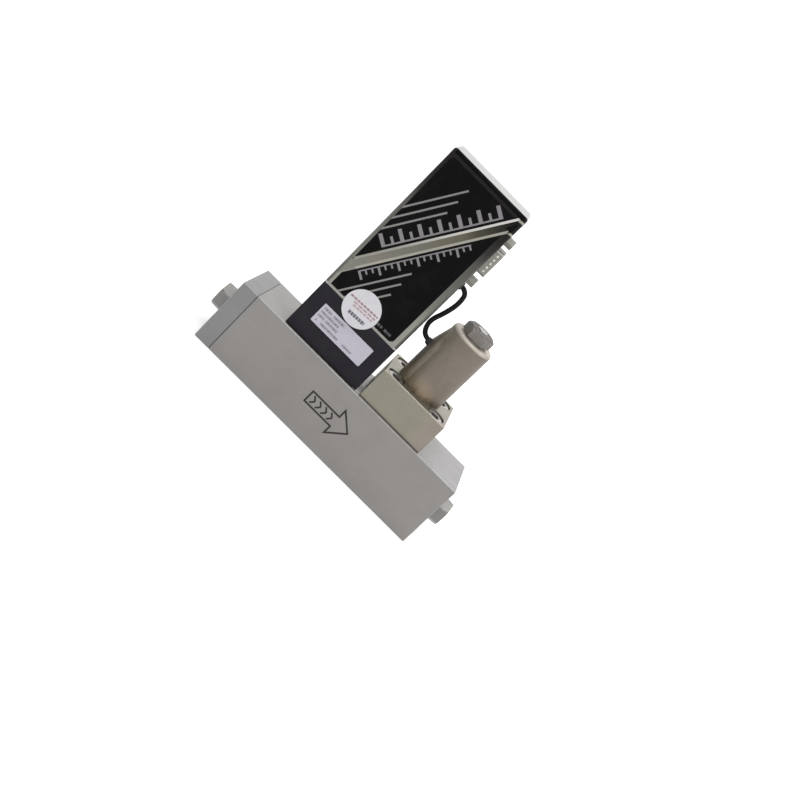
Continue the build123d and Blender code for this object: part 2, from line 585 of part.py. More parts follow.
def sensor_tube():
    """The capillary: up from one port, across through the windings and down to the other."""
    foot = BODY_HEIGHT + SEAL_HEIGHT
    top = sensor_tube_height()
    corners = [(TAP_X[0], TOWER_Y, foot), (TAP_X[0], TOWER_Y, top),
               (TAP_X[1], TOWER_Y, top), (TAP_X[1], TOWER_Y, foot)]
    path = FilletPolyline(*corners, radius=SENSOR_TUBE_BEND)
    wall = Circle(SENSOR_TUBE_R) - Circle(SENSOR_TUBE_BORE_R)
    return sweep(Plane(origin=corners[0], z_dir=(0, 0, 1)) * wall, path)


def sensor_windings():
    """The upstream and downstream heater windings on the capillary's level run."""
    coil = Cylinder(WINDING_R, WINDING_LENGTH) - Cylinder(SENSOR_TUBE_R + FIT, WINDING_LENGTH)
    shift = (WINDING_LENGTH + WINDING_GAP) / 2
    top = sensor_tube_height()
    places = (TOWER_X - shift, TOWER_X + shift)
    return group(Pos(x, TOWER_Y, top) * ALONG_X * coil for x in places)


def sensor_seals():
    ring = seal_ring(SENSOR_SEAL_R)
    return group(Pos(x, TOWER_Y, BODY_HEIGHT) * ring for x in TAP_X)


def sensor_screws():
    screw = socket_screw(SENSOR_SCREW_R, SENSOR_SCREW_LENGTH, SENSOR_SCREW_HEAD_R,
                         SENSOR_SCREW_HEAD_H, SENSOR_SCREW_HEX)
    top = BODY_HEIGHT + SENSOR_BLOCK_HEIGHT
    return group(Pos(x, y, top) * screw for x, y in sensor_screw_places())


def tower_prism(z0, z1, inset, corner_r):
    """An upright prism on the tower's footprint, drawn in by an inset."""
    outline = RectangleRounded(TOWER_WIDTH - 2 * inset, TOWER_DEPTH - 2 * inset, corner_r)
    return Pos(TOWER_X, TOWER_Y, z0) * extrude(outline, z1 - z0)


def cover_screw_places():
    for x in (TOWER_X - COVER_SCREW_SPACING / 2, TOWER_X + COVER_SCREW_SPACING / 2):
        yield x, COVER_TOP + SPIGOT_HEIGHT / 2


def sensor_cover():
    """The black moulded cover round the sensor, with a spigot that locates the can."""
    shell = tower_prism(BODY_HEIGHT, COVER_TOP, 0, COVER_CORNER_R)
    shell = chamfer(shell.edges().group_by(Axis.Z)[0], EDGE_BREAK)
    roof = COVER_TOP - SENSOR_WALL
    shell += tower_prism(roof, COVER_TOP + SPIGOT_HEIGHT, CAN_INSET, SPIGOT_CORNER_R)
    shell -= tower_prism(BODY_HEIGHT, roof, SENSOR_WALL, COVER_INNER_R)
    neck = CAN_INSET + SPIGOT_WALL
    shell -= tower_prism(BODY_HEIGHT, CAN_TOP, neck, COVER_INNER_R)
    for x, z in cover_screw_places():
        shell -= Pos(x, TOWER_BACK, z) * BACKWARDS * Cylinder(COVER_SCREW_R + FIT, 2 * neck)
    return shell


# ---- Electronics -------------------------------------------------------------------------------
def board_screw_places():
    for z in (BOARD_Z - BOARD_SCREW_SPACING_Z, BOARD_Z):
        for x in (TOWER_X - BOARD_SCREW_SPACING_X / 2, TOWER_X + BOARD_SCREW_SPACING_X / 2):
            yield x, z


def board_bracket():
    """The bent sheet bracket that carries the circuit board on the sensor block."""
    foot_z = BODY_HEIGHT + SENSOR_BLOCK_HEIGHT
    half = BRACKET_WIDTH / 2
    y0 = BRACKET_Y - BRACKET_SHEET / 2
    y1 = BRACKET_Y + BRACKET_SHEET / 2
    upright = span(TOWER_X - half, TOWER_X + half, y0, y1, foot_z, BOARD_Z + BRACKET_OVER_SCREW)
    foot_front = TOWER_Y + SENSOR_TUBE_R + FOOT_TO_TUBE
    foot = span(TOWER_X - half, TOWER_X + half, foot_front, y1, foot_z, foot_z + BRACKET_SHEET)
    bracket = upright + foot
    for x, z in board_screw_places():
        hole = Cylinder(BOARD_SCREW_R + FIT, 2 * BRACKET_SHEET)
        bracket -= Pos(x, BRACKET_Y, z) * BACKWARDS * hole
    return bracket


def circuit_board():
    half_x = BOARD_WIDTH / 2
    half_z = BOARD_HEIGHT / 2
    board = span(TOWER_X - half_x, TOWER_X + half_x, BOARD_Y - BOARD_THICKNESS / 2,
                 BOARD_Y + BOARD_THICKNESS / 2, BOARD_Z - half_z, BOARD_Z + half_z)
    board = fillet(board.edges().filter_by(Axis.Y), BOARD_CORNER_R)
    notch_left = FLANGE_BACK - INSULATOR_DEPTH - CONNECTOR_NOTCH_DEPTH
    notch_half = FLANGE_LENGTH / 2 + CONNECTOR_NOTCH_AIR
    board -= span(notch_left, TOWER_RIGHT, TOWER_FRONT, TOWER_BACK,
                  CONNECTOR_Z - notch_half, CONNECTOR_Z + notch_half)
    for x, z in board_screw_places():
        hole = Cylinder(BOARD_SCREW_R + FIT, 2 * BOARD_THICKNESS)
        board -= Pos(x, BOARD_Y, z) * BACKWARDS * hole
    return board


def board_screws():
    length = BOARD_THICKNESS + BRACKET_SHEET + BOARD_SCREW_TIP
    screw = pan_screw(BOARD_SCREW_R, length, BOARD_SCREW_HEAD_R)
    return group(Pos(x, BOARD_FRONT, z) * FORWARDS * screw for x, z in board_screw_places())


def amplifier_chips():
    """Three chips in two rows of legs on the board's front."""
    body = Box(CHIP_LENGTH, CHIP_WIDTH, CHIP_HEIGHT, align=UP)
    body = chamfer(body.edges().group_by(Axis.Z)[-1], CHIP_BEVEL)
    body = Pos(0, 0, CHIP_STANDOFF) * body
    row_y = CHIP_WIDTH / 2 + CHIP_LEG_OUT
    legs = GridLocations(CHIP_LEG_PITCH, 2 * row_y, CHIP_LEGS, 2)
    body += legs * Box(CHIP_LEG, CHIP_LEG, CHIP_LEG_HEIGHT, align=UP)
    x = TOWER_X + CHIP_SHIFT_X
    return group(Pos(x, BOARD_FRONT, BOARD_Z + rise) * FORWARDS * body for rise in CHIP_RISES)


def smoothing_capacitors():
    can = Cylinder(CAPACITOR_R, CAPACITOR_HEIGHT, align=UP)
    can = fillet(can.edges().group_by(Axis.Z)[-1], CAPACITOR_TOP_R)
    z = BOARD_Z - BOARD_HEIGHT / 2 + CAPACITOR_R + CAPACITOR_EDGE
    return group(Pos(TOWER_X + shift, BOARD_FRONT, z) * FORWARDS * can
                 for shift in CAPACITOR_SHIFTS)


def electronics_cover():
    """The deep aluminium can over the electronics, open at the bottom."""
    can = tower_prism(COVER_TOP, CAN_TOP, 0, CAN_CORNER_R)
    can = fillet(can.edges().group_by(Axis.Z)[-1], CAN_TOP_R)
    can -= tower_prism(COVER_TOP, CAN_TOP - CAN_WALL, CAN_WALL, CAN_CORNER_R - CAN_WALL)
    can -= side_place(CONNECTOR_Z) * extrude(shell_outline(2 * FIT), -2 * CAN_WALL)
    for z in jack_heights():
        can -= side_place(z) * Cylinder(JACK_STUD_R + FIT, 4 * CAN_WALL)
    can -= side_place(COVER_BUSH_Z) * Cylinder(COVER_BUSH_NECK_R + FIT, 4 * CAN_WALL)
    for x, z in cover_screw_places():
        hole = Cylinder(COVER_SCREW_R + 2 * FIT, 4 * CAN_WALL)
        can -= Pos(x, TOWER_BACK, z) * BACKWARDS * hole
    return can


def side_place(z):
    """A height on the can's outlet side, local Z pointing out of the can."""
    return Pos(TOWER_RIGHT, TOWER_Y, z) * ALONG_X


def cover_screws():
    length = CAN_WALL + SPIGOT_WALL
    screw = pan_screw(COVER_SCREW_R, length, COVER_SCREW_HEAD_R)
    return group(Pos(x, TOWER_BACK, z) * BACKWARDS * screw for x, z in cover_screw_places())


# ---- Connector ---------------------------------------------------------------------------------
def jack_heights():
    return (CONNECTOR_Z - JACK_SPACING / 2, CONNECTOR_Z + JACK_SPACING / 2)


def shell_outline(grow=0.0):
    """The D outline, long way along local X, which lies along the tower's height."""
    half_w = SHELL_WIDTH / 2 + grow
    lean = tan(radians(SHELL_SLOPE_DEG)) * half_w
    long_half = SHELL_LENGTH / 2 + grow
    short_half = long_half - 2 * lean
    corners = [(-long_half, half_w), (long_half, half_w),
               (short_half, -half_w), (-short_half, -half_w)]
    face = make_face(Polyline(*corners, close=True))
    return fillet(face.vertices(), SHELL_CORNER_R)


def connector_place(x):
    return Pos(x, TOWER_Y, CONNECTOR_Z) * ALONG_X


def connector_shell():
    """The plated shell: a flange inside the can's wall and a D collar through it."""
    outline = RectangleRounded(FLANGE_LENGTH, FLANGE_WIDTH, FLANGE_CORNER_R)
    flange = extrude(outline, FLANGE_THICKNESS)
    reach = FLANGE_THICKNESS + CAN_WALL + SHELL_REACH
    collar = extrude(shell_outline(), reach)
    collar = fillet(collar.edges().group_by(Axis.Z)[-1], SHELL_WALL * 0.4)
    shell = flange + collar
    shell -= extrude(shell_outline(-SHELL_WALL), reach)
    shell -= GridLocations(JACK_SPACING, 0, 2, 1) * Cylinder(JACK_STUD_R + FIT, THROUGH)
    return connector_place(FLANGE_BACK) * shell


def pin_places():
    """Five pins in the long row and four in the short row."""
    for column in range(5):
        yield (column - 2) * PIN_PITCH, PIN_ROW_GAP / 2
    for column in range(4):
        yield (column - 1.5) * PIN_PITCH, -PIN_ROW_GAP / 2


def connector_insulator():
    plug = extrude(shell_outline(-SHELL_WALL - FIT), FLANGE_THICKNESS + CAN_WALL)
    rear = extrude(shell_outline(INSULATOR_GROWTH), -INSULATOR_DEPTH)
    body = plug + rear
    for x, y in pin_places():
        body -= Pos(x, y, 0) * Cylinder(PIN_R + FIT, THROUGH)
    return connector_place(FLANGE_BACK) * body


def connector_pins():
    back = FLANGE_BACK - INSULATOR_DEPTH - PIN_TAIL
    length = TOWER_RIGHT + PIN_REACH - back
    pin = Cylinder(PIN_R, length, align=UP)
    pin = fillet(pin.edges().group_by(Axis.Z)[-1], PIN_R * 0.8)
    return group(connector_place(back) * Pos(x, y, 0) * pin for x, y in pin_places())


def connector_jackscrews():
    """The two hexagonal posts that clamp the connector and take the cable's screws."""
    post = hexagon_bar(JACK_HEX, JACK_LENGTH, JACK_TURN_DEG)
    post -= Pos(0, 0, JACK_LENGTH) * Cylinder(JACK_STUD_R, JACK_THREAD_DEPTH, align=DOWN)
    post += Cylinder(JACK_STUD_R, CAN_WALL + FLANGE_THICKNESS + JACK_STUD_TIP, align=DOWN)
    return group(side_place(z) * post for z in jack_heights())


def connector_nuts():
    nut = hexagon_bar(JACK_HEX, JACK_NUT_HEIGHT, JACK_TURN_DEG)
    nut -= Cylinder(JACK_STUD_R + FIT, THROUGH)
    return group(Pos(FLANGE_BACK, TOWER_Y, z) * AGAINST_X * nut for z in jack_heights())


# ---- Labels ------------------------------------------------------------------------------------
def front_label():
    """The foil label that covers the can's front."""
    width = TOWER_WIDTH - 2 * (CAN_CORNER_R + LABEL_EDGE)
    height = CAN_HEIGHT - CAN_TOP_R - 2 * LABEL_EDGE
    sheet = extrude(RectangleRounded(width, height, LABEL_CORNER_R), LABEL_THICKNESS)
    middle = COVER_TOP + LABEL_EDGE + height / 2
    return Pos(TOWER_X, TOWER_FRONT, middle) * FORWARDS * sheet


def data_plate():
    outline = RectangleRounded(PLATE_LENGTH, PLATE_HEIGHT, PLATE_CORNER_R)
    place = Pos(TOWER_X + PLATE_SHIFT_X, TOWER_FRONT, BODY_HEIGHT + PLATE_RISE)
    return place * FORWARDS * extrude(outline, PLATE_THICKNESS)


def round_sticker():
    disc = Cylinder(STICKER_R, STICKER_THICKNESS, align=UP)
    face = TOWER_FRONT - LABEL_THICKNESS
    return Pos(TOWER_X + STICKER_SHIFT_X, face, COVER_TOP + STICKER_RISE) * FORWARDS * disc


# ---- Valve block -------------------------------------------------------------------------------
def valve_block():
    half = BLOCK_LENGTH / 2
    block = span(BLOCK_X - half, BLOCK_X + half, -BLOCK_DEPTH / 2, BLOCK_DEPTH / 2,
                 BODY_HEIGHT, BLOCK_TOP)
    block = chamfer(block.edges(), EDGE_BREAK)
    for x, y in block_screw_places():
        top = Pos(x, y, BLOCK_TOP)
        depth = BLOCK_SCREW_HEAD_H + BLOCK_SCREW_SINK
        block -= top * Cylinder(COUNTERBORE_R, depth, align=DOWN)
        block -= top * Cylinder(BLOCK_SCREW_R + SCREW_PLAY, BLOCK_HEIGHT, align=DOWN)
    foot = Pos(VALVE_X, 0, BODY_HEIGHT)
    floor = foot * Pos(0, 0, CHAMBER_FLOOR)
    block -= floor * Cylinder(CHAMBER_R, BLOCK_HEIGHT, align=UP)
    block -= foot * Cylinder(SEAT_STEM_R + FIT, BLOCK_HEIGHT, align=UP)
    block -= foot * seal_groove(SEAT_SEAL_R)
    block -= Pos(VALVE_X, 0, BLOCK_TOP) * Cylinder(TUBE_FLANGE_R + FIT, TUBE_FLANGE_H, align=DOWN)
    flange_floor = Pos(VALVE_X, 0, BLOCK_TOP - TUBE_FLANGE_H - SEAL_HEIGHT)
    block -= flange_floor * Cylinder(TUBE_SEAL_R + GROOVE_HALF, SEAL_HEIGHT, align=UP)
    port = Pos(INLET_PORT_X, 0, BODY_HEIGHT)
    rise = CHAMBER_FLOOR + CROSS_PASSAGE_R + CROSS_PASSAGE_RISE
    block -= port * Cylinder(CROSS_PASSAGE_R, rise, align=UP)
    block -= port * seal_groove(PORT_SEAL_R)
    cross = Cylinder(CROSS_PASSAGE_R, INLET_PORT_OFFSET, align=UP)
    block -= Pos(INLET_PORT_X, 0, BODY_HEIGHT + rise) * ALONG_X * cross
    block -= Pos(INLET_PORT_X, 0, BODY_HEIGHT + rise) * Sphere(CROSS_PASSAGE_R)
    return block


def valve_block_screws():
    grip = BLOCK_HEIGHT - BLOCK_SCREW_HEAD_H - BLOCK_SCREW_SINK
    screw = socket_screw(BLOCK_SCREW_R, grip + BLOCK_SCREW_BITE, BLOCK_SCREW_HEAD_R,
                         BLOCK_SCREW_HEAD_H, BLOCK_SCREW_HEX)
    z = BODY_HEIGHT + grip
    return group(Pos(x, y, z) * screw for x, y in block_screw_places())


def valve_seat():
    """The turned seat with its orifice and raised lip."""
    seat = Cylinder(SEAT_STEM_R, CHAMBER_FLOOR, align=UP)
    top = Pos(0, 0, CHAMBER_FLOOR)
    seat += top * Cylinder(SEAT_FLANGE_R, SEAT_FLANGE_H, align=UP)
    lip = Cone(SEAT_LIP_FOOT_R, SEAT_LIP_R, SEAT_LIP_H, align=UP)
    seat += top * Pos(0, 0, SEAT_FLANGE_H) * lip
    seat -= Cylinder(PASSAGE_R, CHAMBER_FLOOR, align=UP)
    seat -= Cylinder(ORIFICE_R, THROUGH)
    return Pos(VALVE_X, 0, BODY_HEIGHT) * seat


# ---- Valve -------------------------------------------------------------------------------------
def valve_axis(z):
    return Pos(VALVE_X, 0, z)


def guide_tube():
    """The thin sleeve that guides the plunger and holds the core, with its clamping flange."""
    bottom = BLOCK_TOP - TUBE_FLANGE_H
    height = COIL_TOP - COIL_WALL - bottom
    tube = Cylinder(GUIDE_TUBE_R, height, align=UP) + Cylinder(TUBE_FLANGE_R, TUBE_FLANGE_H, align=UP)
    tube -= Cylinder(GUIDE_TUBE_R - GUIDE_TUBE_WALL, height, align=UP)
    return valve_axis(bottom) * tube


def guide_tube_seal():
    """The seal in the recess under the tube's flange, which opens into the chamber."""
    return valve_axis(BLOCK_TOP - TUBE_FLANGE_H - SEAL_HEIGHT) * seal_ring(TUBE_SEAL_R)


def fixed_core():
    """The pole piece in the tube's top, with the stud that takes the coil nut."""
    core = Cylinder(GUIDE_TUBE_R - GUIDE_TUBE_WALL - FIT, CORE_DEPTH - COIL_WALL, align=UP)
    stud_top = COIL_TOP + WASHER_THICKNESS + COIL_NUT_HEIGHT + STUD_RISE
    stud = Cylinder(STUD_R, stud_top - CORE_FACE, align=UP)
    stud = fillet(stud.edges().group_by(Axis.Z)[-1], STUD_RISE)
    return valve_axis(CORE_FACE) * (core + stud)


def valve_plunger():
    """The moving armature: spring pocket above, soft pad below, two flats to let gas by."""
    bottom = SEAT_TOP + PAD_PROUD
    height = PLUNGER_TOP - bottom
    body = Cylinder(PLUNGER_R, height, align=UP)
    body = chamfer(body.edges(), PLUNGER_BEVEL)
    flat = Box(PLUNGER_FLAT_DEPTH, 2 * PLUNGER_R, THROUGH, align=(Align.MIN, Align.CENTER, Align.CENTER))
    flats = Pos(PLUNGER_R - PLUNGER_FLAT_DEPTH, 0, 0) * flat
    body -= flats + Rot(0, 0, 180) * flats
    body -= Pos(0, 0, height) * Cylinder(SPRING_POCKET_R, SPRING_POCKET_DEPTH, align=DOWN)
    body -= Cylinder(PAD_R, PAD_THICKNESS - PAD_PROUD, align=UP)
    return valve_axis(bottom) * body


def plunger_pad():
    """The soft disc that closes on the seat's lip."""
    return valve_axis(SEAT_TOP) * Cylinder(PAD_R - FIT, PAD_THICKNESS, align=UP)


def plunger_spring():
    """The return spring, between the plunger's pocket and the core."""
    bottom = PLUNGER_TOP - SPRING_POCKET_DEPTH
    free = CORE_FACE - bottom - 2 * SPRING_WIRE_R
    helix = Helix(pitch=free / SPRING_TURNS, height=free, radius=SPRING_R)
    start = Plane(origin=helix @ 0, z_dir=helix % 0)
    spring = sweep(start * Circle(SPRING_WIRE_R), helix)
    return valve_axis(bottom + SPRING_WIRE_R) * spring


def coil_base_plate():
    """The steel washer that closes the housing's magnetic path on the block."""
    plate = Cylinder(COIL_RADIUS - COIL_WALL - FIT, COIL_BASE_THICKNESS, align=UP)
    return valve_axis(BLOCK_TOP) * (plate - Cylinder(GUIDE_TUBE_R + FIT, THROUGH))


def coil_bobbin():
    bottom = BLOCK_TOP + COIL_BASE_THICKNESS
    height = COIL_TOP - COIL_WALL - bottom
    core_r = GUIDE_TUBE_R + FIT + BOBBIN_WALL
    spool = Cylinder(core_r, height, align=UP)
    flange = Cylinder(BOBBIN_FLANGE_R, BOBBIN_FLANGE_H, align=UP)
    spool += flange + Pos(0, 0, height - BOBBIN_FLANGE_H) * flange
    spool -= Cylinder(GUIDE_TUBE_R + FIT, height, align=UP)
    return valve_axis(bottom) * spool


def coil_winding():
    bottom = BLOCK_TOP + COIL_BASE_THICKNESS + BOBBIN_FLANGE_H
    height = COIL_TOP - COIL_WALL - BOBBIN_FLANGE_H - bottom
    core_r = GUIDE_TUBE_R + 2 * FIT + BOBBIN_WALL
    wire = Cylinder(WIRE_STACK_R, height, align=UP) - Cylinder(core_r, height, align=UP)
    return valve_axis(bottom) * wire


def lead_boss(grow=0.0):
    """The upright swelling on the lead's side, before the cup is hollowed."""
    height = COIL_HEIGHT - COIL_TOP_R - BOSS_TAPER
    taper = Cone(BOSS_R + grow, BOSS_R - BOSS_REACH - BOSS_SINK, BOSS_TAPER, align=UP)
    boss = Cylinder(BOSS_R + grow, height, align=UP) + Pos(0, 0, height) * taper
    return Pos(BOSS_LEFT + BOSS_R, 0, BLOCK_TOP) * boss


def coil_housing():
    """The drawn steel cup over the coil, with a swelling where the lead goes in."""
    cup = Cylinder(COIL_RADIUS, COIL_HEIGHT, align=UP)
    cup = fillet(cup.edges().group_by(Axis.Z)[-1], COIL_TOP_R)
    housing = valve_axis(BLOCK_TOP) * cup + lead_boss()
    cavity = Cylinder(COIL_RADIUS - COIL_WALL, COIL_HEIGHT - COIL_WALL, align=UP)
    housing -= valve_axis(BLOCK_TOP) * cavity
    housing -= valve_axis(BLOCK_TOP) * Cylinder(STUD_R + FIT, THROUGH)
    neck = Cylinder(COIL_BUSH_NECK_R + FIT, 2 * (BOSS_REACH + 2 * COIL_WALL))
    return housing - Pos(BOSS_LEFT, 0, COIL_BUSH_Z) * ALONG_X * neck


def coil_washer():
    ring = Cylinder(WASHER_R, WASHER_THICKNESS, align=UP) - Cylinder(STUD_R + FIT, THROUGH)
    return valve_axis(COIL_TOP) * ring


def coil_nut():
    """The hexagonal nut, well chamfered at its top."""
    nut = hexagon_bar(COIL_NUT_FLATS, COIL_NUT_HEIGHT)
    foot_r = COIL_NUT_TOP_R + COIL_NUT_HEIGHT / tan(radians(COIL_NUT_BEVEL_DEG))
    nut &= Cone(foot_r, COIL_NUT_TOP_R, COIL_NUT_HEIGHT, align=UP)
    nut -= Cylinder(STUD_R + FIT, THROUGH)
    return valve_axis(COIL_TOP + WASHER_THICKNESS) * nut


# ---- Valve lead --------------------------------------------------------------------------------
def cover_lead_bush():
    """The grommet in the can's side."""
    outer = Cylinder(COVER_BUSH_FLANGE_R, COVER_BUSH_FLANGE_H, align=UP)
    outer = fillet(outer.edges().group_by(Axis.Z)[-1], COVER_BUSH_TOP_R)
    neck = Cylinder(COVER_BUSH_NECK_R, CAN_WALL, align=DOWN)
    return side_place(COVER_BUSH_Z) * (outer + neck - Cylinder(LEAD_R + LEAD_PLAY, THROUGH))


def coil_lead_bush():
    """The tapered strain relief on the coil housing's side."""
    place = Pos(BOSS_LEFT, 0, COIL_BUSH_Z) * AGAINST_X
    cone = Cone(COIL_BUSH_R, COIL_BUSH_TIP_R, COIL_BUSH_LENGTH, align=UP)
    root = Cylinder(COIL_BUSH_R, COIL_WALL, align=DOWN)
    bush = place * (cone + root) - lead_boss(grow=FIT)
    neck = Cylinder(COIL_BUSH_NECK_R, BOSS_REACH + COIL_WALL + COIL_BUSH_INSIDE, align=DOWN)
    bush += place * neck
    return bush - place * Cylinder(LEAD_R + LEAD_PLAY, THROUGH)


# The lead's route, chosen by hand: out of the can, down in a shallow bow and into the coil.
LEAD_ROUTE = [
    (TOWER_RIGHT - CAN_WALL, TOWER_Y, COVER_BUSH_Z),
    (6.6, TOWER_Y, COVER_BUSH_Z),
    (7.9, -3.8, 98.0),
    (6.3, -3.0, 89.6),
    (4.0, -2.0, 83.0),
    (4.9, -1.0, 77.6),
    (8.1, 0.0, COIL_BUSH_Z),
    (CAVITY_LEFT, 0.0, COIL_BUSH_Z),
]


def lead_radii():
    """Arc radii: each arc takes the same share of its shorter run."""
    points = [Vector(*p) for p in LEAD_ROUTE]
    radii = []
    for before, here, after in zip(points, points[1:], points[2:]):
        run_in = here - before
        run_out = after - here
        half_turn = radians(run_in.get_angle(run_out)) / 2
        radii.append(LEAD_ARC_SHARE * min(run_in.length, run_out.length) / tan(half_turn))
    return radii


def valve_lead():
    radii = lead_radii()
    print("lead arc radii", [round(r, 1) for r in radii])
    path = FilletPolyline(*LEAD_ROUTE, radius=radii)
    lead = sweep(Plane(origin=path @ 0, z_dir=path % 0) * Circle(LEAD_R), path)
    expected = pi * LEAD_R ** 2 * path.length
    print(f"lead length {path.length:.2f}, volume {lead.volume:.1f}, section x length {expected:.1f}")
    return lead


def fitting_places():
    left = Pos(X_LEFT, 0, FLOW_Z) * AGAINST_X
    right = Pos(X_RIGHT, 0, FLOW_Z) * ALONG_X
    return left, right


def build():
    left, right = fitting_places()
    save("base_block", base_block())
    save("inlet_end_cap", inlet_end_cap())
    save("end_cap_seal", Pos(X_SPLIT, 0, FLOW_Z) * ALONG_X * seal_ring(CAP_SEAL_R))
    save("end_cap_screws", end_cap_screws())
    save("inlet_fitting", left * hex_fitting())
    save("outlet_fitting", right * hex_fitting())
    save("inlet_fitting_seal", left * Pos(0, 0, -PORT_SEAL_HEIGHT) * fitting_seal())
    save("outlet_fitting_seal", right * Pos(0, 0, -PORT_SEAL_HEIGHT) * fitting_seal())
    for maker in (inlet_screen, laminar_flow_element, element_ring,
                  sensor_block, sensor_tube, sensor_windings, sensor_seals, sensor_screws,
                  sensor_cover, board_bracket, circuit_board, board_screws,
                  amplifier_chips, smoothing_capacitors, electronics_cover, cover_screws,
                  connector_shell, connector_insulator, connector_pins,
                  connector_jackscrews, connector_nuts,
                  front_label, data_plate, round_sticker,
                  valve_block, valve_block_screws, valve_seat,
                  guide_tube, guide_tube_seal, fixed_core,
                  valve_plunger, plunger_pad, plunger_spring,
                  coil_base_plate, coil_bobbin, coil_winding, coil_housing,
                  coil_washer, coil_nut, cover_lead_bush, coil_lead_bush, valve_lead):
        save(maker.__name__, maker())
    save("seat_seal", Pos(VALVE_X, 0, BODY_HEIGHT) * seal_ring(SEAT_SEAL_R))
    save("valve_port_seal", Pos(INLET_PORT_X, 0, BODY_HEIGHT) * seal_ring(PORT_SEAL_R))


build()
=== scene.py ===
"""Looks of a gas mass flow controller, dressed around its construction model.

The flow body lies along X with the inlet at -X, the labelled front faces -Y and Z is up.
Sizes that belong to the object are written in millimetres and converted by MM.
"""

import json
import logging
import math
from collections.abc import Callable
from dataclasses import dataclass
from enum import Enum

import bmesh
import bpy
from mathutils import Matrix, Vector


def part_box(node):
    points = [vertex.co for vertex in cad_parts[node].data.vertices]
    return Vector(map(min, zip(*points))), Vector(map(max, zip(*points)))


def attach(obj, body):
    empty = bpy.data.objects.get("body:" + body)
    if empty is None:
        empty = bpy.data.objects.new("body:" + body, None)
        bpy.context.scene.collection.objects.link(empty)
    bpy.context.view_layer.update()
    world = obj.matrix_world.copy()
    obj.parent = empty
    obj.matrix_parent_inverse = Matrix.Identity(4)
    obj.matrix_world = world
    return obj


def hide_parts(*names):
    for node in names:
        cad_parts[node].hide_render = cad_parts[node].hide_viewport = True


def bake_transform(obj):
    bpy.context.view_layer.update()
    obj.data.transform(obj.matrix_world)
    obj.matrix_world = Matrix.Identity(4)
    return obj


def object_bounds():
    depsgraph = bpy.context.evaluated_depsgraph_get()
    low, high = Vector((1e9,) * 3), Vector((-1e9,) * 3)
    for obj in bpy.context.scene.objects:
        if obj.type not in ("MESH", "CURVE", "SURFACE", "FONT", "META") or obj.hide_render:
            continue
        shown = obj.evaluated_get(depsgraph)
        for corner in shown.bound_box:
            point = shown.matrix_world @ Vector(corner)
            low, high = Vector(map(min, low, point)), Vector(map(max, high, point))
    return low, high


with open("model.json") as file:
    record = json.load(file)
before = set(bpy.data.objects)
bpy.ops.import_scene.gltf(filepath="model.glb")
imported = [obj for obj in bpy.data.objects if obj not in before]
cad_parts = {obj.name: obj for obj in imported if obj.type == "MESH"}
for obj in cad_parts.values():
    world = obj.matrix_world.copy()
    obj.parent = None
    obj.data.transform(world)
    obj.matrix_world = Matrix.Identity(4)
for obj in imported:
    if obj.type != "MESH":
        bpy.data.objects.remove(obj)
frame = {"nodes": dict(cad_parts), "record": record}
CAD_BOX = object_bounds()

LOG = logging.getLogger("mass_flow_controller")

MM = 0.001
IMAGE_WIDTH = 800
CONTROLLER = "controller"
Point2 = tuple[float, float]
Point3 = tuple[float, float, float]
Colour = tuple[float, float, float, float]
Outline = list[Point2]
Socket = bpy.types.NodeSocket
WHITE: Colour = (1.0, 1.0, 1.0, 1.0)


def srgb(red: float, green: float, blue: float) -> Colour:
    """Turn display values from 0 to 255 into a linear colour.

    Args:
        red: Display value of red.
        green: Display value of green.
        blue: Display value of blue.

    Returns:
        The linear colour with full alpha.
    """
    def linear(value: float) -> float:
        """One channel of the display curve undone."""
        share = value / 255
        return share / 12.92 if share <= 0.04045 else ((share + 0.055) / 1.055) ** 2.4

    return (linear(red), linear(green), linear(blue), 1.0)


def scaled(colour: Colour, factor: float, lift: float = 0.0) -> Colour:
    """Scale and lift a colour, each channel kept to 1 at most."""
    return tuple(min(1.0, c * factor + lift) for c in colour[:3]) + (1.0,)


# ---- Node wiring ---------------------------------------------------------------------------


class Kind(Enum):
    """The kinds of socket that the shared effects use."""

    NUMBER = "NodeSocketFloat"
    VECTOR = "NodeSocketVector"


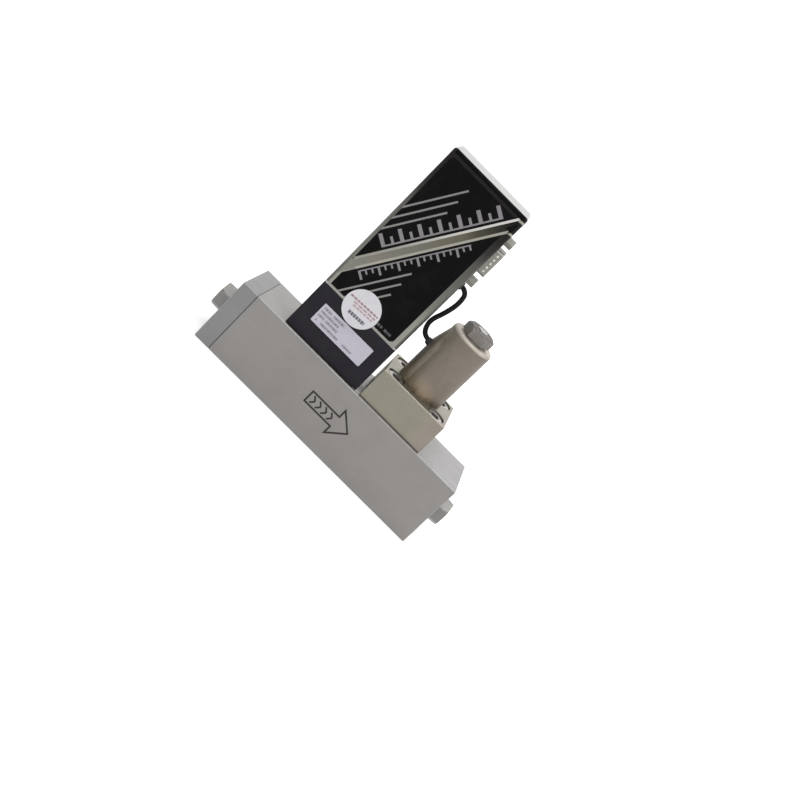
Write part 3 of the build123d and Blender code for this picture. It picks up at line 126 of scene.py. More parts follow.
class NodeKit:
    """Adds nodes to one tree and wires them together."""

    def __init__(self, tree: bpy.types.NodeTree) -> None:
        """Keep the tree that the nodes go into."""
        self.tree = tree

    def add(self, kind: str, inputs: dict | None = None, **settings: object) -> bpy.types.Node:
        """Add one node.

        Args:
            kind: Blender's node type without the ShaderNode prefix.
            inputs: Socket name or index to a value or to another node's socket.
            settings: Properties of the node itself.

        Returns:
            The new node.
        """
        node = self.tree.nodes.new("ShaderNode" + kind)
        for name, value in settings.items():
            setattr(node, name, value)
        for name, value in (inputs or {}).items():
            self.feed(node.inputs[name], value)
        return node

    def feed(self, socket: Socket, value: object) -> None:
        """Link a socket to another one, or set its value.

        Args:
            socket: The socket that is fed.
            value: Another node's socket, or a plain value.
        """
        if isinstance(value, Socket):
            self.tree.links.new(value, socket)
        else:
            socket.default_value = value

    def maths(self, operation: str, first: object, second: object = 0.0,
              clamp: bool = False) -> Socket:
        """Combine two numbers and return the result's socket."""
        node = self.add("Math", {0: first, 1: second}, operation=operation, use_clamp=clamp)
        return node.outputs[0]

    def times(self, first: object, second: object) -> Socket:
        """Multiply two numbers and return the result's socket."""
        return self.maths("MULTIPLY", first, second)

    def blend(self, factor: object, first: object, second: object) -> Socket:
        """Mix two colours and return the result's socket."""
        node = self.add("Mix", {0: factor, 6: first, 7: second}, data_type="RGBA")
        return node.outputs[2]

    def ramp(self, value: object, low: float, high: float) -> Socket:
        """Map the range from low to high smoothly onto 0 to 1 and return the result's socket."""
        node = self.add("MapRange", {"Value": value, "From Min": low, "From Max": high},
                        interpolation_type="SMOOTHSTEP")
        return node.outputs["Result"]

    def place(self) -> Socket:
        """The place on the object, in its own coordinates."""
        return self.add("TexCoord").outputs["Object"]

    def vector(self, operation: str, first: object, second: object) -> bpy.types.Node:
        """Combine two vectors and return the node."""
        return self.add("VectorMath", {0: first, 1: second}, operation=operation)

    def noise(self, place: Socket, scale: object, detail: float, roughness: float = 0.5,
              distortion: float = 0.0) -> Socket:
        """Sample a noise texture.

        Args:
            place: Where it is sampled.
            scale: How fine it is.
            detail: How many octaves it has.
            roughness: How strong the finer octaves are.
            distortion: How far it is warped.

        Returns:
            The socket that holds its value.
        """
        node = self.add("TexNoise", {"Vector": place, "Scale": scale, "Detail": detail,
                                     "Roughness": roughness, "Distortion": distortion})
        return node.outputs["Fac"]


class Effect(Enum):
    """The surface effects that several finishes share."""

    EDGE_WEAR = "edge_wear"
    GRAIN = "grain"
    SMUDGES = "smudges"
    HAIRLINES = "hairlines"
    DUST = "dust"


Sockets = dict[str, tuple[Kind, object]]
Results = dict[str, Socket]


class EffectLibrary:
    """Builds each shared effect once, as a shader node group with named sockets."""

    INPUTS: dict[Effect, Sockets] = {
        Effect.EDGE_WEAR: {"Width": (Kind.NUMBER, 0.4 * MM), "Amount": (Kind.NUMBER, 0.5)},
        Effect.GRAIN: {"Stretch": (Kind.VECTOR, (1.0, 1.0, 1.0)),
                       "Scale": (Kind.NUMBER, 3000.0)},
        Effect.SMUDGES: {"Scale": (Kind.NUMBER, 60.0), "Amount": (Kind.NUMBER, 0.5)},
        Effect.HAIRLINES: {"Scale": (Kind.NUMBER, 400.0), "Amount": (Kind.NUMBER, 0.5)},
        Effect.DUST: {"Amount": (Kind.NUMBER, 0.3)},
    }
    SCRATCH_TILTS = ((0.35, 0.0), (-1.1, 7.3))
    SCRATCH_STRETCH: Point3 = (0.02, 1.0, 1.0)

    def __init__(self) -> None:
        """Build all the groups."""
        makers = {Effect.EDGE_WEAR: self._edge_wear, Effect.GRAIN: self._grain,
                  Effect.SMUDGES: self._smudges, Effect.HAIRLINES: self._hairlines,
                  Effect.DUST: self._dust}
        self.groups = {effect: self._group(effect, maker) for effect, maker in makers.items()}

    def _group(self, effect: Effect,
               maker: Callable[[NodeKit, Results], Results]) -> bpy.types.NodeTree:
        """Build one group around what its maker wires.

        Args:
            effect: The effect, which names the group and its inputs.
            maker: The method that wires the inputs to the results.

        Returns:
            The node group.
        """
        tree = bpy.data.node_groups.new(effect.value, "ShaderNodeTree")
        for label, (kind, default) in self.INPUTS[effect].items():
            socket = tree.interface.new_socket(label, in_out="INPUT", socket_type=kind.value)
            socket.default_value = default
        entry = tree.nodes.new("NodeGroupInput")
        results = maker(NodeKit(tree), entry.outputs)
        for label in results:
            tree.interface.new_socket(label, in_out="OUTPUT", socket_type=Kind.NUMBER.value)
        leave = tree.nodes.new("NodeGroupOutput")
        for label, result in results.items():
            tree.links.new(result, leave.inputs[label])
        return tree

    def _edge_wear(self, kit: NodeKit, given: Results) -> Results:
        """Mask of the edges that handling has brightened, broken up by noise.

        Args:
            kit: The group's node kit.
            given: The group's inputs.

        Returns:
            The mask.
        """
        bevel = kit.add("Bevel", {"Radius": given["Width"]}, samples=4)
        plain = kit.add("NewGeometry")
        turned = kit.vector("DOT_PRODUCT", bevel.outputs[0], plain.outputs["Normal"])
        edge = kit.ramp(turned.outputs["Value"], low=0.995, high=0.90)
        rough = kit.noise(kit.place(), scale=700.0, detail=4.0)
        broken = kit.ramp(rough, low=0.30, high=0.62)
        return {"Mask": kit.times(kit.times(edge, broken), given["Amount"])}

    def _grain(self, kit: NodeKit, given: Results) -> Results:
        """Fine grain, stretched along the way the surface was ground, turned or moulded.

        Args:
            kit: The group's node kit.
            given: The group's inputs.

        Returns:
            The value that shades the tone and the height that feeds the bump.
        """
        spread = kit.vector("MULTIPLY", kit.place(), given["Stretch"]).outputs["Vector"]
        fine = kit.noise(spread, given["Scale"], detail=5.0, roughness=0.65)
        coarse = kit.noise(spread, kit.times(given["Scale"], 0.13), detail=3.0)
        both = kit.maths("ADD", kit.times(fine, 0.65), kit.times(coarse, 0.35))
        return {"Value": kit.ramp(both, low=0.33, high=0.67), "Height": fine}

    def _smudges(self, kit: NodeKit, given: Results) -> Results:
        """Mask of broad, soft handling marks.

        Args:
            kit: The group's node kit.
            given: The group's inputs.

        Returns:
            The mask.
        """
        cloud = kit.noise(kit.place(), given["Scale"], detail=6.0, roughness=0.6,
                          distortion=0.6)
        return {"Mask": kit.times(kit.ramp(cloud, low=0.42, high=0.72), given["Amount"])}

    def _hairlines(self, kit: NodeKit, given: Results) -> Results:
        """Mask of sparse fine scratches that run mostly along X and Z.

        Args:
            kit: The group's node kit.
            given: The group's inputs.

        Returns:
            The mask.
        """
        place = kit.place()
        masks = []
        for tilt, shift in self.SCRATCH_TILTS:
            turned = kit.add("VectorRotate", {"Vector": place, "Angle": tilt},
                             rotation_type="Y_AXIS").outputs["Vector"]
            drawn = kit.vector("MULTIPLY", turned, self.SCRATCH_STRETCH).outputs["Vector"]
            moved = kit.vector("ADD", drawn, (shift,) * 3).outputs["Vector"]
            lines = kit.noise(moved, given["Scale"], detail=2.0, roughness=0.4)
            masks.append(kit.ramp(lines, low=0.68, high=0.74))
        return {"Mask": kit.times(kit.maths("MAXIMUM", *masks), given["Amount"])}

    def _dust(self, kit: NodeKit, given: Results) -> Results:
        """Mask of the thin dust that settles on what faces up.

        Args:
            kit: The group's node kit.
            given: The group's inputs.

        Returns:
            The mask.
        """
        geometry = kit.add("NewGeometry")
        upward = kit.add("SeparateXYZ", {0: geometry.outputs["Normal"]}).outputs["Z"]
        specks = kit.noise(kit.place(), scale=900.0, detail=8.0, roughness=0.75)
        lying = kit.times(kit.ramp(upward, low=0.35, high=0.95),
                          kit.ramp(specks, low=0.45, high=0.75))
        return {"Mask": kit.times(lying, given["Amount"])}

    def use(self, kit: NodeKit, effect: Effect, **values: object) -> Results:
        """Place an effect in a material with its own values.

        Args:
            kit: The material's node kit.
            effect: Which effect to place.
            values: Input names, in lower case, to values.

        Returns:
            The effect's outputs.
        """
        node = kit.tree.nodes.new("ShaderNodeGroup")
        node.node_tree = self.groups[effect]
        for name, value in values.items():
            kit.feed(node.inputs[name.capitalize()], value)
        return node.outputs


EFFECTS = EffectLibrary()


class Skin:
    """A material under way: one Principled shader, a tone and what lies over it."""

    def __init__(self, name: str) -> None:
        """Create the material, its node kit and its shader."""
        self.material = bpy.data.materials.new(name)
        self.material.use_nodes = True
        nodes = self.material.node_tree.nodes
        self.kit = NodeKit(self.material.node_tree)
        self.shader = next(node for node in nodes if node.type == "BSDF_PRINCIPLED")
        self.tone: object = WHITE

    def grained(self, scale: float, stretch: Point3 = (1.0, 1.0, 1.0)) -> None:
        """Give the surface its grain."""
        grain = EFFECTS.use(self.kit, Effect.GRAIN, stretch=stretch, scale=scale)
        self.grain, self.height = grain["Value"], grain["Height"]

    def mask(self, effect: Effect, **values: object) -> Socket:
        """Give the mask of one shared effect."""
        return EFFECTS.use(self.kit, effect, **values)["Mask"]

    def mottle(self, colour: Colour, spread: float) -> None:
        """Start from a colour that the grain makes darker and lighter."""
        self.tone = self.kit.blend(self.grain, scaled(colour, 1 - spread),
                                   scaled(colour, 1 + spread))

    def lay(self, mask: Socket, colour: Colour, share: float = 1.0) -> None:
        """Lay a colour over the tone.

        Args:
            mask: Where the colour lies.
            colour: The colour.
            share: How strongly it covers there.
        """
        if share < 1.0:
            mask = self.kit.times(mask, share)
        self.tone = self.kit.blend(mask, self.tone, colour)

    def done(self, roughness: float, marks: tuple[tuple[Socket, float], ...],
             **values: object) -> bpy.types.Material:
        """Wire the tone and the roughness, and set what else the shader is given.

        Args:
            roughness: Roughness of the bare surface.
            marks: Masks, each with what it adds to the roughness.
            values: Names of the shader's inputs, with _ for a space, to values.

        Returns:
            The material.
        """
        gloss: object = roughness
        for mask, change in marks:
            gloss = self.kit.maths("ADD", gloss, self.kit.times(mask, change), clamp=True)
        inputs = self.shader.inputs
        self.kit.feed(inputs["Base Color"], self.tone)
        self.kit.feed(inputs["Roughness"], gloss)
        for name, value in values.items():
            self.kit.feed(inputs[name.replace("_", " ")], value)
        return self.material

    def bump(self, strength: float, distance: float) -> Socket:
        """Give the normal that the grain's height bends."""
        return self.kit.add("Bump", {"Height": self.height, "Strength": strength,
                                     "Distance": distance}).outputs["Normal"]


# ---- Finishes ------------------------------------------------------------------------------


@dataclass(frozen=True)
class Fade:
    """One area of a metal surface with a tone of its own, bounded by soft limits in space.

    Attributes:
        colour: The tone inside the area.
        limits: Axis letter, outer place and inner place of each soft limit, in millimetres.
        share: How strongly the tone covers the metal.
        patchy: Whether the area is broken up by smudges.
        matte: Whether the area is drawn without metallic shine, which some areas of painted light
            and painted shade use.
    """

    colour: Colour
    limits: tuple[tuple[str, float, float], ...]
    share: float = 1.0
    patchy: bool = False
    matte: bool = False

    def mask(self, skin: Skin) -> Socket:
        """Build the area's mask.

        Args:
            skin: The material under way.

        Returns:
            The socket that holds the mask.
        """
        kit = skin.kit
        place = kit.add("SeparateXYZ", {0: kit.place()}).outputs
        mask: object = self.share
        for axis, outer, inner in self.limits:
            mask = kit.times(kit.ramp(place[axis], outer * MM, inner * MM), mask)
        if self.patchy:
            mask = kit.times(mask, skin.mask(Effect.SMUDGES, scale=160.0, amount=0.9))
        return mask


@dataclass(frozen=True)
class Grain:
    """How fine a surface's grain is, how deep, how far it shades the tone and its stretch."""

    scale: float
    depth: float
    spread: float
    stretch: Point3 = (1.0, 1.0, 1.0)


@dataclass(frozen=True)
class Age:
    """How strongly a surface shows worn edges, smudges, dust and hairlines."""

    wear: float
    smudge: float
    dust: float
    hairline: float = 0.20
    wear_width: float = 0.35 * MM


@dataclass(frozen=True)
class MetalFinish:
    """A ground, turned, blasted or plated metal surface."""

    name: str
    colour: Colour
    roughness: float = 0.38
    grain: Grain = Grain(3000.0, 0.06, 0.10)
    age: Age = Age(0.35, 0.25, 0.05)
    metallic: float = 0.85
    fades: tuple[Fade, ...] = ()

    DUST_TONE = srgb(188, 184, 178)

    def material(self) -> bpy.types.Material:
        """Build the finish's material.

        Returns:
            The material.
        """
        skin, age = Skin(self.name), self.age
        kit = skin.kit
        skin.grained(self.grain.scale, self.grain.stretch)
        wear = skin.mask(Effect.EDGE_WEAR, width=age.wear_width, amount=age.wear)
        smudge = skin.mask(Effect.SMUDGES, scale=70.0, amount=age.smudge)
        hair = skin.mask(Effect.HAIRLINES, scale=900.0, amount=age.hairline)
        dust = skin.mask(Effect.DUST, amount=age.dust)
        skin.mottle(self.colour, self.grain.spread)
        metal: object = self.metallic
        # The fades lay areas of tone; several are painted light, painted shade or painted
        # highlights.
        for fade in self.fades:
            area = fade.mask(skin)
            skin.lay(area, fade.colour)
            if fade.matte:
                metal = kit.times(metal, kit.maths("SUBTRACT", 1.0, area))
        bright = scaled(self.colour, 1.45, 0.04)
        skin.lay(smudge, scaled(self.colour, 0.86))
        skin.lay(wear, bright)
        skin.lay(hair, bright, 0.5)
        skin.lay(dust, self.DUST_TONE)
        clean = kit.maths("SUBTRACT", 1.0, dust)
        return skin.done(self.roughness, ((skin.grain, 0.10), (smudge, 0.18), (wear, -0.12)),
                         Metallic=kit.times(metal, clean),
                         Normal=skin.bump(self.grain.depth, 0.1 * MM))


@dataclass(frozen=True)
class PlasticFinish:
    """A moulded, cast or lacquered surface that isn't metal."""

    name: str
    colour: Colour
    roughness: float = 0.45
    grain: Grain = Grain(2500.0, 0.15, 0.15)
    age: Age = Age(0.25, 0.35, 0.12, wear_width=0.4 * MM)
    specular: float = 0.5

    DUST_TONE = srgb(150, 147, 142)

    def material(self) -> bpy.types.Material:
        """Build the finish's material.

        Returns:
            The material.
        """
        skin, age = Skin(self.name), self.age
        skin.grained(self.grain.scale)
        wear = skin.mask(Effect.EDGE_WEAR, width=age.wear_width, amount=age.wear)
        smudge = skin.mask(Effect.SMUDGES, scale=90.0, amount=age.smudge)
        skin.mottle(self.colour, self.grain.spread)
        skin.lay(smudge, scaled(self.colour, 1.3, 0.012))
        skin.lay(wear, scaled(self.colour, 1.6, 0.03))
        skin.lay(skin.mask(Effect.DUST, amount=age.dust), self.DUST_TONE)
        return skin.done(self.roughness, ((skin.grain, 0.08), (smudge, -0.12)),
                         Normal=skin.bump(self.grain.depth, 0.08 * MM),
                         Specular_IOR_Level=self.specular)


@dataclass(frozen=True)
class PaperFinish:
    """A coated paper surface with a faint fibre."""

    name: str
    colour: Colour
    tint: Colour
    roughness: float = 0.42

    FIBRE_TONE = srgb(120, 118, 125)

    def material(self) -> bpy.types.Material:
        """Build the finish's material.

        Returns:
            The material.
        """
        skin = Skin(self.name)
        skin.grained(5200.0)
        skin.tone = self.colour
        skin.lay(skin.mask(Effect.SMUDGES, scale=130.0, amount=0.55), self.tint)
        skin.lay(skin.grain, self.FIBRE_TONE, 0.06)
        return skin.done(self.roughness, ((skin.grain, 0.1),),
                         Normal=skin.bump(0.08, 0.05 * MM))


@dataclass(frozen=True)
class InkFinish:
    """Screen-printed ink on foil, plate or steel, slightly uneven."""

    name: str
    colour: Colour
    roughness: float = 0.32
    fade: float = 0.25
    metallic: float = 0.0
    specular: float = 0.35

    def material(self) -> bpy.types.Material:
        """Build the finish's material.

        Returns:
            The material.
        """
        skin = Skin(self.name)
        skin.grained(1800.0)
        smudge = skin.mask(Effect.SMUDGES, scale=110.0, amount=self.fade)
        hair = skin.mask(Effect.HAIRLINES, scale=1300.0, amount=0.35)
        skin.tone = self.colour
        skin.lay(smudge, scaled(self.colour, 1.35, 0.01))
        skin.lay(hair, scaled(self.colour, 1.8, 0.05), 0.3)
        return skin.done(self.roughness, ((skin.grain, 0.12), (smudge, 0.15)),
                         Metallic=self.metallic, Specular_IOR_Level=self.specular,
                         Normal=skin.bump(0.05, 0.05 * MM))


@dataclass(frozen=True)
class GradedFoilFinish:
    """Foil whose colour changes along one direction; on the label's foil this change is painted
    reflection.

    Attributes:
        name: The material's name.
        start: Where the first stop lies, in millimetres.
        end: Where the last stop lies, in millimetres.
        stops: Shares of the way from start to end, each with display values of its colour.
        roughness: Roughness of the foil.
        metallic: How metallic the foil looks.
    """

    name: str
    start: Point3
    end: Point3
    stops: tuple[tuple[float, float, float, float], ...]
    roughness: float = 0.30
    metallic: float = 0.8

    GRAIN_TONE = srgb(70, 68, 62)

    def material(self) -> bpy.types.Material:
        """Build the finish's material.

        Returns:
            The material.
        """
        skin = Skin(self.name)
        kit = skin.kit
        first, last = Vector(self.start) * MM, Vector(self.end) * MM
        way = last - first
        moved = kit.vector("SUBTRACT", kit.place(), tuple(first)).outputs["Vector"]
        along = kit.vector("DOT_PRODUCT", moved, tuple(way / way.length_squared))
        table = kit.add("ValToRGB", {"Fac": along.outputs["Value"]})
        bands = table.color_ramp.elements
        while len(bands) < len(self.stops):
            bands.new(1.0)
        for element, (share, *display) in zip(bands, self.stops):
            element.position = share
            element.color = srgb(*display)
        skin.grained(1500.0)
        smudge = skin.mask(Effect.SMUDGES, scale=80.0, amount=0.4)
        skin.tone = table.outputs["Color"]
        skin.lay(skin.grain, self.GRAIN_TONE, 0.10)
        return skin.done(self.roughness, ((skin.grain, 0.1), (smudge, 0.12)),
                         Metallic=self.metallic, Specular_IOR_Level=0.3)


class Palette:
    """Every finish of the object, each built once when first asked for."""

    ALONG_X: Point3 = (0.06, 1.0, 1.0)
    ALONG_Z: Point3 = (1.0, 1.0, 0.06)

    # Painted light: a lighter matte strip on the body's top ledge in front of the valve block, in
    # place of the dark reflection there.
    LEDGE_PAINTED_LIGHT = Fade(srgb(134, 131, 126), (("Y", -17.1, -17.25), ("Z", 35.9, 36.1),
                                       ("X", 4.9, 5.1), ("X", 44.5, 44.3)), 0.9, matte=True)
    # Painted light: a near-white matte patch on the body's top between the cover and the valve
    # block.
    GAP_PAINTED_LIGHT = Fade(srgb(226, 223, 221), (("X", 0.0, 0.4), ("X", 5.1, 4.8), ("Y", -17.5, -16.7),
                                     ("Y", 0.0, -6.0), ("Z", 35.9, 36.1)), matte=True)
    # Painted light: the body's top face at the outlet end in a lighter tone.
    OUTLET_TOP_PAINTED_LIGHT = Fade(srgb(149, 147, 148), (("X", 44.0, 60.0), ("Z", 36.0, 36.15)))
    VALVE_WARM = Fade(srgb(145, 135, 126), (("X", 30.0, 44.0), ("Y", 10.0, -17.0)), 0.9)
    COIL_SHADE = Fade(srgb(148, 141, 124), (("X", 22.0, 15.0),), 0.9, matte=True)
    COIL_SHADOW = Fade(srgb(92, 88, 73), (("X", 14.6, 12.6),), 0.9, matte=True)
    # A lighter, warmer tone towards the bottom right of the coil.
    COIL_LOW_WARM_TONE = Fade(srgb(164, 144, 118), (("Z", 67.0, 54.5), ("X", 36.0, 26.0)), 0.6)
    # Painted shade: darker, broken up in patches, towards the coil's foot where it meets the
    # valve block.
    COIL_FOOT_PAINTED_SHADE = Fade(srgb(74, 60, 44), (("Z", 59.0, 54.5),), 0.9, patchy=True)
    # Painted highlight: the coil's rounded top rim and its top face lighter.
    COIL_RIM_PAINTED_HIGHLIGHT = Fade(srgb(186, 178, 168), (("Z", 88.5, 89.5),))
    # Painted shade: the nut's top darker.
    NUT_TOP_PAINTED_SHADE = Fade(srgb(102, 98, 95), (("Z", 95.2, 95.9),))

    FINISHES = {finish.name: finish for finish in (
        MetalFinish("body_steel", srgb(138, 135, 133), 0.36, Grain(4200.0, 0.03, 0.045, ALONG_X),
                    Age(0.45, 0.22, 0.04, 0.14, 0.4 * MM), fades=(LEDGE_PAINTED_LIGHT, GAP_PAINTED_LIGHT, OUTLET_TOP_PAINTED_LIGHT)),
        MetalFinish("cap_steel", srgb(131, 131, 131), 0.38,
                    Grain(4200.0, 0.03, 0.05, (1.0, 1.0, 0.08)),
                    Age(0.45, 0.22, 0.04, 0.16, 0.4 * MM)),
        MetalFinish("fitting_steel", srgb(129, 127, 125), 0.36,
                    Grain(3600.0, 0.05, 0.08, (1.0, 0.3, 0.3)), Age(0.5, 0.25, 0.05)),
        MetalFinish("valve_steel", srgb(137, 134, 122), 0.36, Grain(3800.0, 0.04, 0.06, ALONG_X),
                    Age(0.4, 0.25, 0.04, 0.18, 0.4 * MM), fades=(VALVE_WARM,)),
        MetalFinish("coil_plating", srgb(126, 118, 108), 0.46, Grain(2600.0, 0.10, 0.10),
                    Age(0.3, 0.35, 0.06, 0.15, 0.5 * MM), 0.8,
                    (COIL_SHADE, COIL_SHADOW, COIL_LOW_WARM_TONE, COIL_FOOT_PAINTED_SHADE, COIL_RIM_PAINTED_HIGHLIGHT)),
        MetalFinish("nut_plating", srgb(140, 136, 131), 0.6, Grain(2600.0, 0.10, 0.10),
                    Age(0.55, 0.35, 0.06, 0.15, 0.5 * MM), fades=(NUT_TOP_PAINTED_SHADE,)),
        MetalFinish("magnetic_steel", srgb(150, 148, 144), 0.3),
        MetalFinish("spring_steel", srgb(165, 163, 158), 0.28),
        MetalFinish("bracket_sheet", srgb(186, 186, 186), 0.4,
                    Grain(3000.0, 0.06, 0.10, ALONG_Z)),
        MetalFinish("can_aluminium", srgb(172, 171, 170), 0.42,
                    Grain(3400.0, 0.04, 0.06, ALONG_Z), Age(0.35, 0.20, 0.03, 0.14, 0.5 * MM)),
        MetalFinish("plate_foil", srgb(186, 183, 193), 0.5, Grain(2600.0, 0.05, 0.06, ALONG_X),
                    Age(0.2, 0.25, 0.0, 0.15, 0.3 * MM)),
        MetalFinish("connector_plating", srgb(142, 140, 133), 0.34, Grain(2200.0, 0.06, 0.10),
                    Age(0.4, 0.25, 0.05)),
        MetalFinish("jack_plating", srgb(140, 138, 131), 0.34, Grain(2200.0, 0.05, 0.08),
                    Age(0.5, 0.25, 0.05)),
        MetalFinish("dimple_plating", srgb(214, 212, 205), 0.3),
        MetalFinish("screw_steel", srgb(172, 169, 166), 0.28, Grain(2400.0, 0.06, 0.09),
                    Age(0.5, 0.3, 0.05, 0.1)),
        MetalFinish("capacitor_can", srgb(180, 182, 190), 0.35),
        MetalFinish("copper_wire", srgb(190, 116, 70), 0.3,
                    Grain(2400.0, 0.35, 0.2, (0.05, 0.05, 4.0)), Age(0.1, 0.25, 0.05)),
        MetalFinish("pin_gold", srgb(212, 178, 98), 0.24),
        # label_foil: light at the bottom to near black at the top; this change is painted dark
        # reflection towards the top.
        GradedFoilFinish(
            "label_foil", (0.0, 0.0, 64.0), (0.0, 0.0, 150.0),
            ((0.00, 147, 145, 140), (0.18, 140, 140, 133), (0.30, 120, 120, 114),
             (0.49, 98, 98, 93), (0.63, 86, 84, 80), (0.72, 56, 54, 53), (0.82, 38, 36, 35),
             (1.00, 30, 27, 28))),
        PlasticFinish("cover_black", srgb(28, 25, 32), 0.46, Grain(2600.0, 0.12, 0.10),
                      Age(0.45, 0.30, 0.06, wear_width=0.4 * MM), 0.2),
        PlasticFinish("soft_seat", srgb(45, 38, 36), 0.6),
        PlasticFinish("bobbin_plastic", srgb(214, 208, 188), 0.5),
        PlasticFinish("board_laminate", srgb(22, 96, 52), 0.3, Grain(1600.0, 0.2, 0.2)),
        PlasticFinish("chip_plastic", srgb(30, 30, 31), 0.5),
        PlasticFinish("connector_plastic", srgb(24, 24, 26), 0.45),
        PlasticFinish("seal_rubber", srgb(24, 24, 24), 0.6, Grain(1800.0, 0.25, 0.15)),
        PlasticFinish("lead_sheath", srgb(11, 10, 12), 0.5, Grain(1500.0, 0.10, 0.12),
                      Age(0.0, 0.25, 0.04, wear_width=0.4 * MM), 0.2),
        PlasticFinish("bush_rubber", srgb(20, 20, 21), 0.5, Grain(1700.0, 0.2, 0.15)),
        PaperFinish("sticker_paper", srgb(238, 236, 240), srgb(228, 224, 234)),
        InkFinish("label_ink", srgb(12, 11, 12), 0.40, 0.30, 0.0, 0.06),
        InkFinish("scale_grey", srgb(136, 133, 136), 0.42, 0.3, 0.4),
        InkFinish("small_print_grey", srgb(92, 88, 94), 0.42, 0.3, 0.2),
        InkFinish("lower_line_foil", srgb(156, 153, 144), 0.32, 0.2, 0.8),
        InkFinish("pinstripe_foil", srgb(132, 129, 127), 0.32, 0.2, 0.6),
        InkFinish("plate_ink", srgb(146, 142, 151), 0.5, 0.4),
        InkFinish("sticker_red", srgb(166, 136, 140), 0.5, 0.5),
        InkFinish("sticker_pink", srgb(196, 170, 174), 0.5, 0.5),
        InkFinish("sticker_grey", srgb(112, 112, 122), 0.5, 0.4),
        InkFinish("arrow_ink", srgb(58, 54, 49), 0.5, 0.35, 0.0, 0.2),
    )}

    def __init__(self) -> None:
        """Start with nothing built."""
        self._built: dict[str, bpy.types.Material] = {}

    def get(self, name: str) -> bpy.types.Material:
        """Give a finish's material by name.

        Args:
            name: The finish's name.

        Returns:
            Its material.
        """
        if name not in self._built:
            self._built[name] = self.FINISHES[name].material()
        return self._built[name]


# ---- Mesh tools ----------------------------------------------------------------------------


def box_mm(node: str) -> tuple[Vector, Vector]:
    """Lowest and highest corner of a CAD node in millimetres."""
    low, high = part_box(node)
    return Vector(low) / MM, Vector(high) / MM


def add_mesh(name: str, mesh: bmesh.types.BMesh, material: bpy.types.Material,
             smooth: bool = False) -> bpy.types.Object:
    """Turn a bmesh into an object of the scene.

    Args:
        name: The piece's name.
        mesh: Its faces, in metres. It is freed here.
        material: The piece's finish.
        smooth: Whether its faces are shaded smooth.

    Returns:
        The new object.
    """
    bmesh.ops.recalc_face_normals(mesh, faces=mesh.faces)
    data = bpy.data.meshes.new(name)
    mesh.to_mesh(data)
    mesh.free()
    data.materials.append(material)
    data.polygons.foreach_set("use_smooth", [smooth] * len(data.polygons))
    piece = bpy.data.objects.new(name, data)
    bpy.context.scene.collection.objects.link(piece)
    return piece


def add_riding(name: str, mesh: bmesh.types.BMesh, material: bpy.types.Material,
               smooth: bool = False) -> bpy.types.Object:
    """Turn a bmesh into a piece that rides on the controller's body.

    Args:
        name: The piece's name.
        mesh: Its faces, in metres.
        material: The piece's finish.
        smooth: Whether its faces are shaded smooth.

    Returns:
        The new piece.
    """
    piece = add_mesh(name, mesh, material, smooth)
    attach(piece, CONTROLLER)
    return piece


def skin_rings(mesh: bmesh.types.BMesh, rings: list[list[Point3 | Vector]]) -> None:
    """Add a closed body that runs through rings of points.

    Args:
        mesh: The bmesh that takes the body.
        rings: Rings with equally many points each, in millimetres.
    """
    made = [[mesh.verts.new(Vector(point) * MM) for point in ring] for ring in rings]
    for here, after in zip(made, made[1:]):
        for i, corner in enumerate(here):
            j = (i + 1) % len(here)
            mesh.faces.new((corner, after[i], after[j], here[j]))
    mesh.faces.new(made[0])
    mesh.faces.new(list(reversed(made[-1])))


def bar(start: Point2, end: Point2, width: float) -> Outline:
    """Lay a straight bar of constant width between two points.

    Args:
        start: Middle of one end.
        end: Middle of the other end.
        width: Its width.

    Returns:
        The bar's corners.
    """
    along = Vector(end) - Vector(start)
    side = Vector((-along.y, along.x)).normalized() * (width / 2)
    ends = (Vector(start) + side, Vector(end) + side, Vector(end) - side, Vector(start) - side)
    return [(p.x, p.y) for p in ends]


def arc(centre: Point2, radius: float, first: float, last: float, steps: int = 8) -> Outline:
    """Divide an arc into points.

    Args:
        centre: The arc's centre.
        radius: Its radius.
        first: Angle of its first point, in degrees.
        last: Angle of its last point, in degrees.
        steps: Number of pieces it is divided into.

    Returns:
        The arc's points.
    """
    turn = (last - first) / steps
    angles = [math.radians(first + turn * i) for i in range(steps + 1)]
    return [(centre[0] + radius * math.cos(a), centre[1] + radius * math.sin(a)) for a in angles]


def cut(outline: Outline, line_point: Point2, keep: Point2) -> Outline:
    """Cut a convex outline with a line and keep one side.

    Args:
        outline: Corners of the outline.
        line_point: A point on the cutting line.
        keep: The line's normal, which points to the side that is kept.

    Returns:
        Corners of what is left.
    """
    def side(p: Point2) -> float:
        """How far a point lies on the kept side."""
        return (p[0] - line_point[0]) * keep[0] + (p[1] - line_point[1]) * keep[1]

    left: Outline = []
    for here, after in zip(outline, outline[1:] + outline[:1]):
        a, b = side(here), side(after)
        if a >= 0:
            left.append(here)
        if (a >= 0) != (b >= 0):
            share = a / (a - b)
            left.append((here[0] + share * (after[0] - here[0]),
                         here[1] + share * (after[1] - here[1])))
    return left


@dataclass
class FrontPrint:
    """A thin printed layer of flat shapes on a face that looks towards -Y.

    Attributes:
        name: The piece's name.
        face_y: Where the carrying face lies, in millimetres.
        shapes: Outlines of the shapes, their corners (x, z) in millimetres.
        thickness: How far the layer stands proud, in millimetres.
    """

    name: str
    face_y: float
    shapes: list[Outline]
    thickness: float = 0.02

    def build(self, material: bpy.types.Material) -> bpy.types.Object:
        """Extrude all the shapes and make the piece.

        Args:
            material: The layer's finish.

        Returns:
            The piece, riding on the controller's body.
        """
        mesh = bmesh.new()
        for outline in self.shapes:
            skin_rings(mesh, [[(x, y, z) for x, z in outline]
                              for y in (self.face_y - self.thickness, self.face_y)])
        bmesh.ops.triangulate(mesh, faces=[f for f in mesh.faces if len(f.verts) > 4])
        return add_riding(self.name, mesh, material)


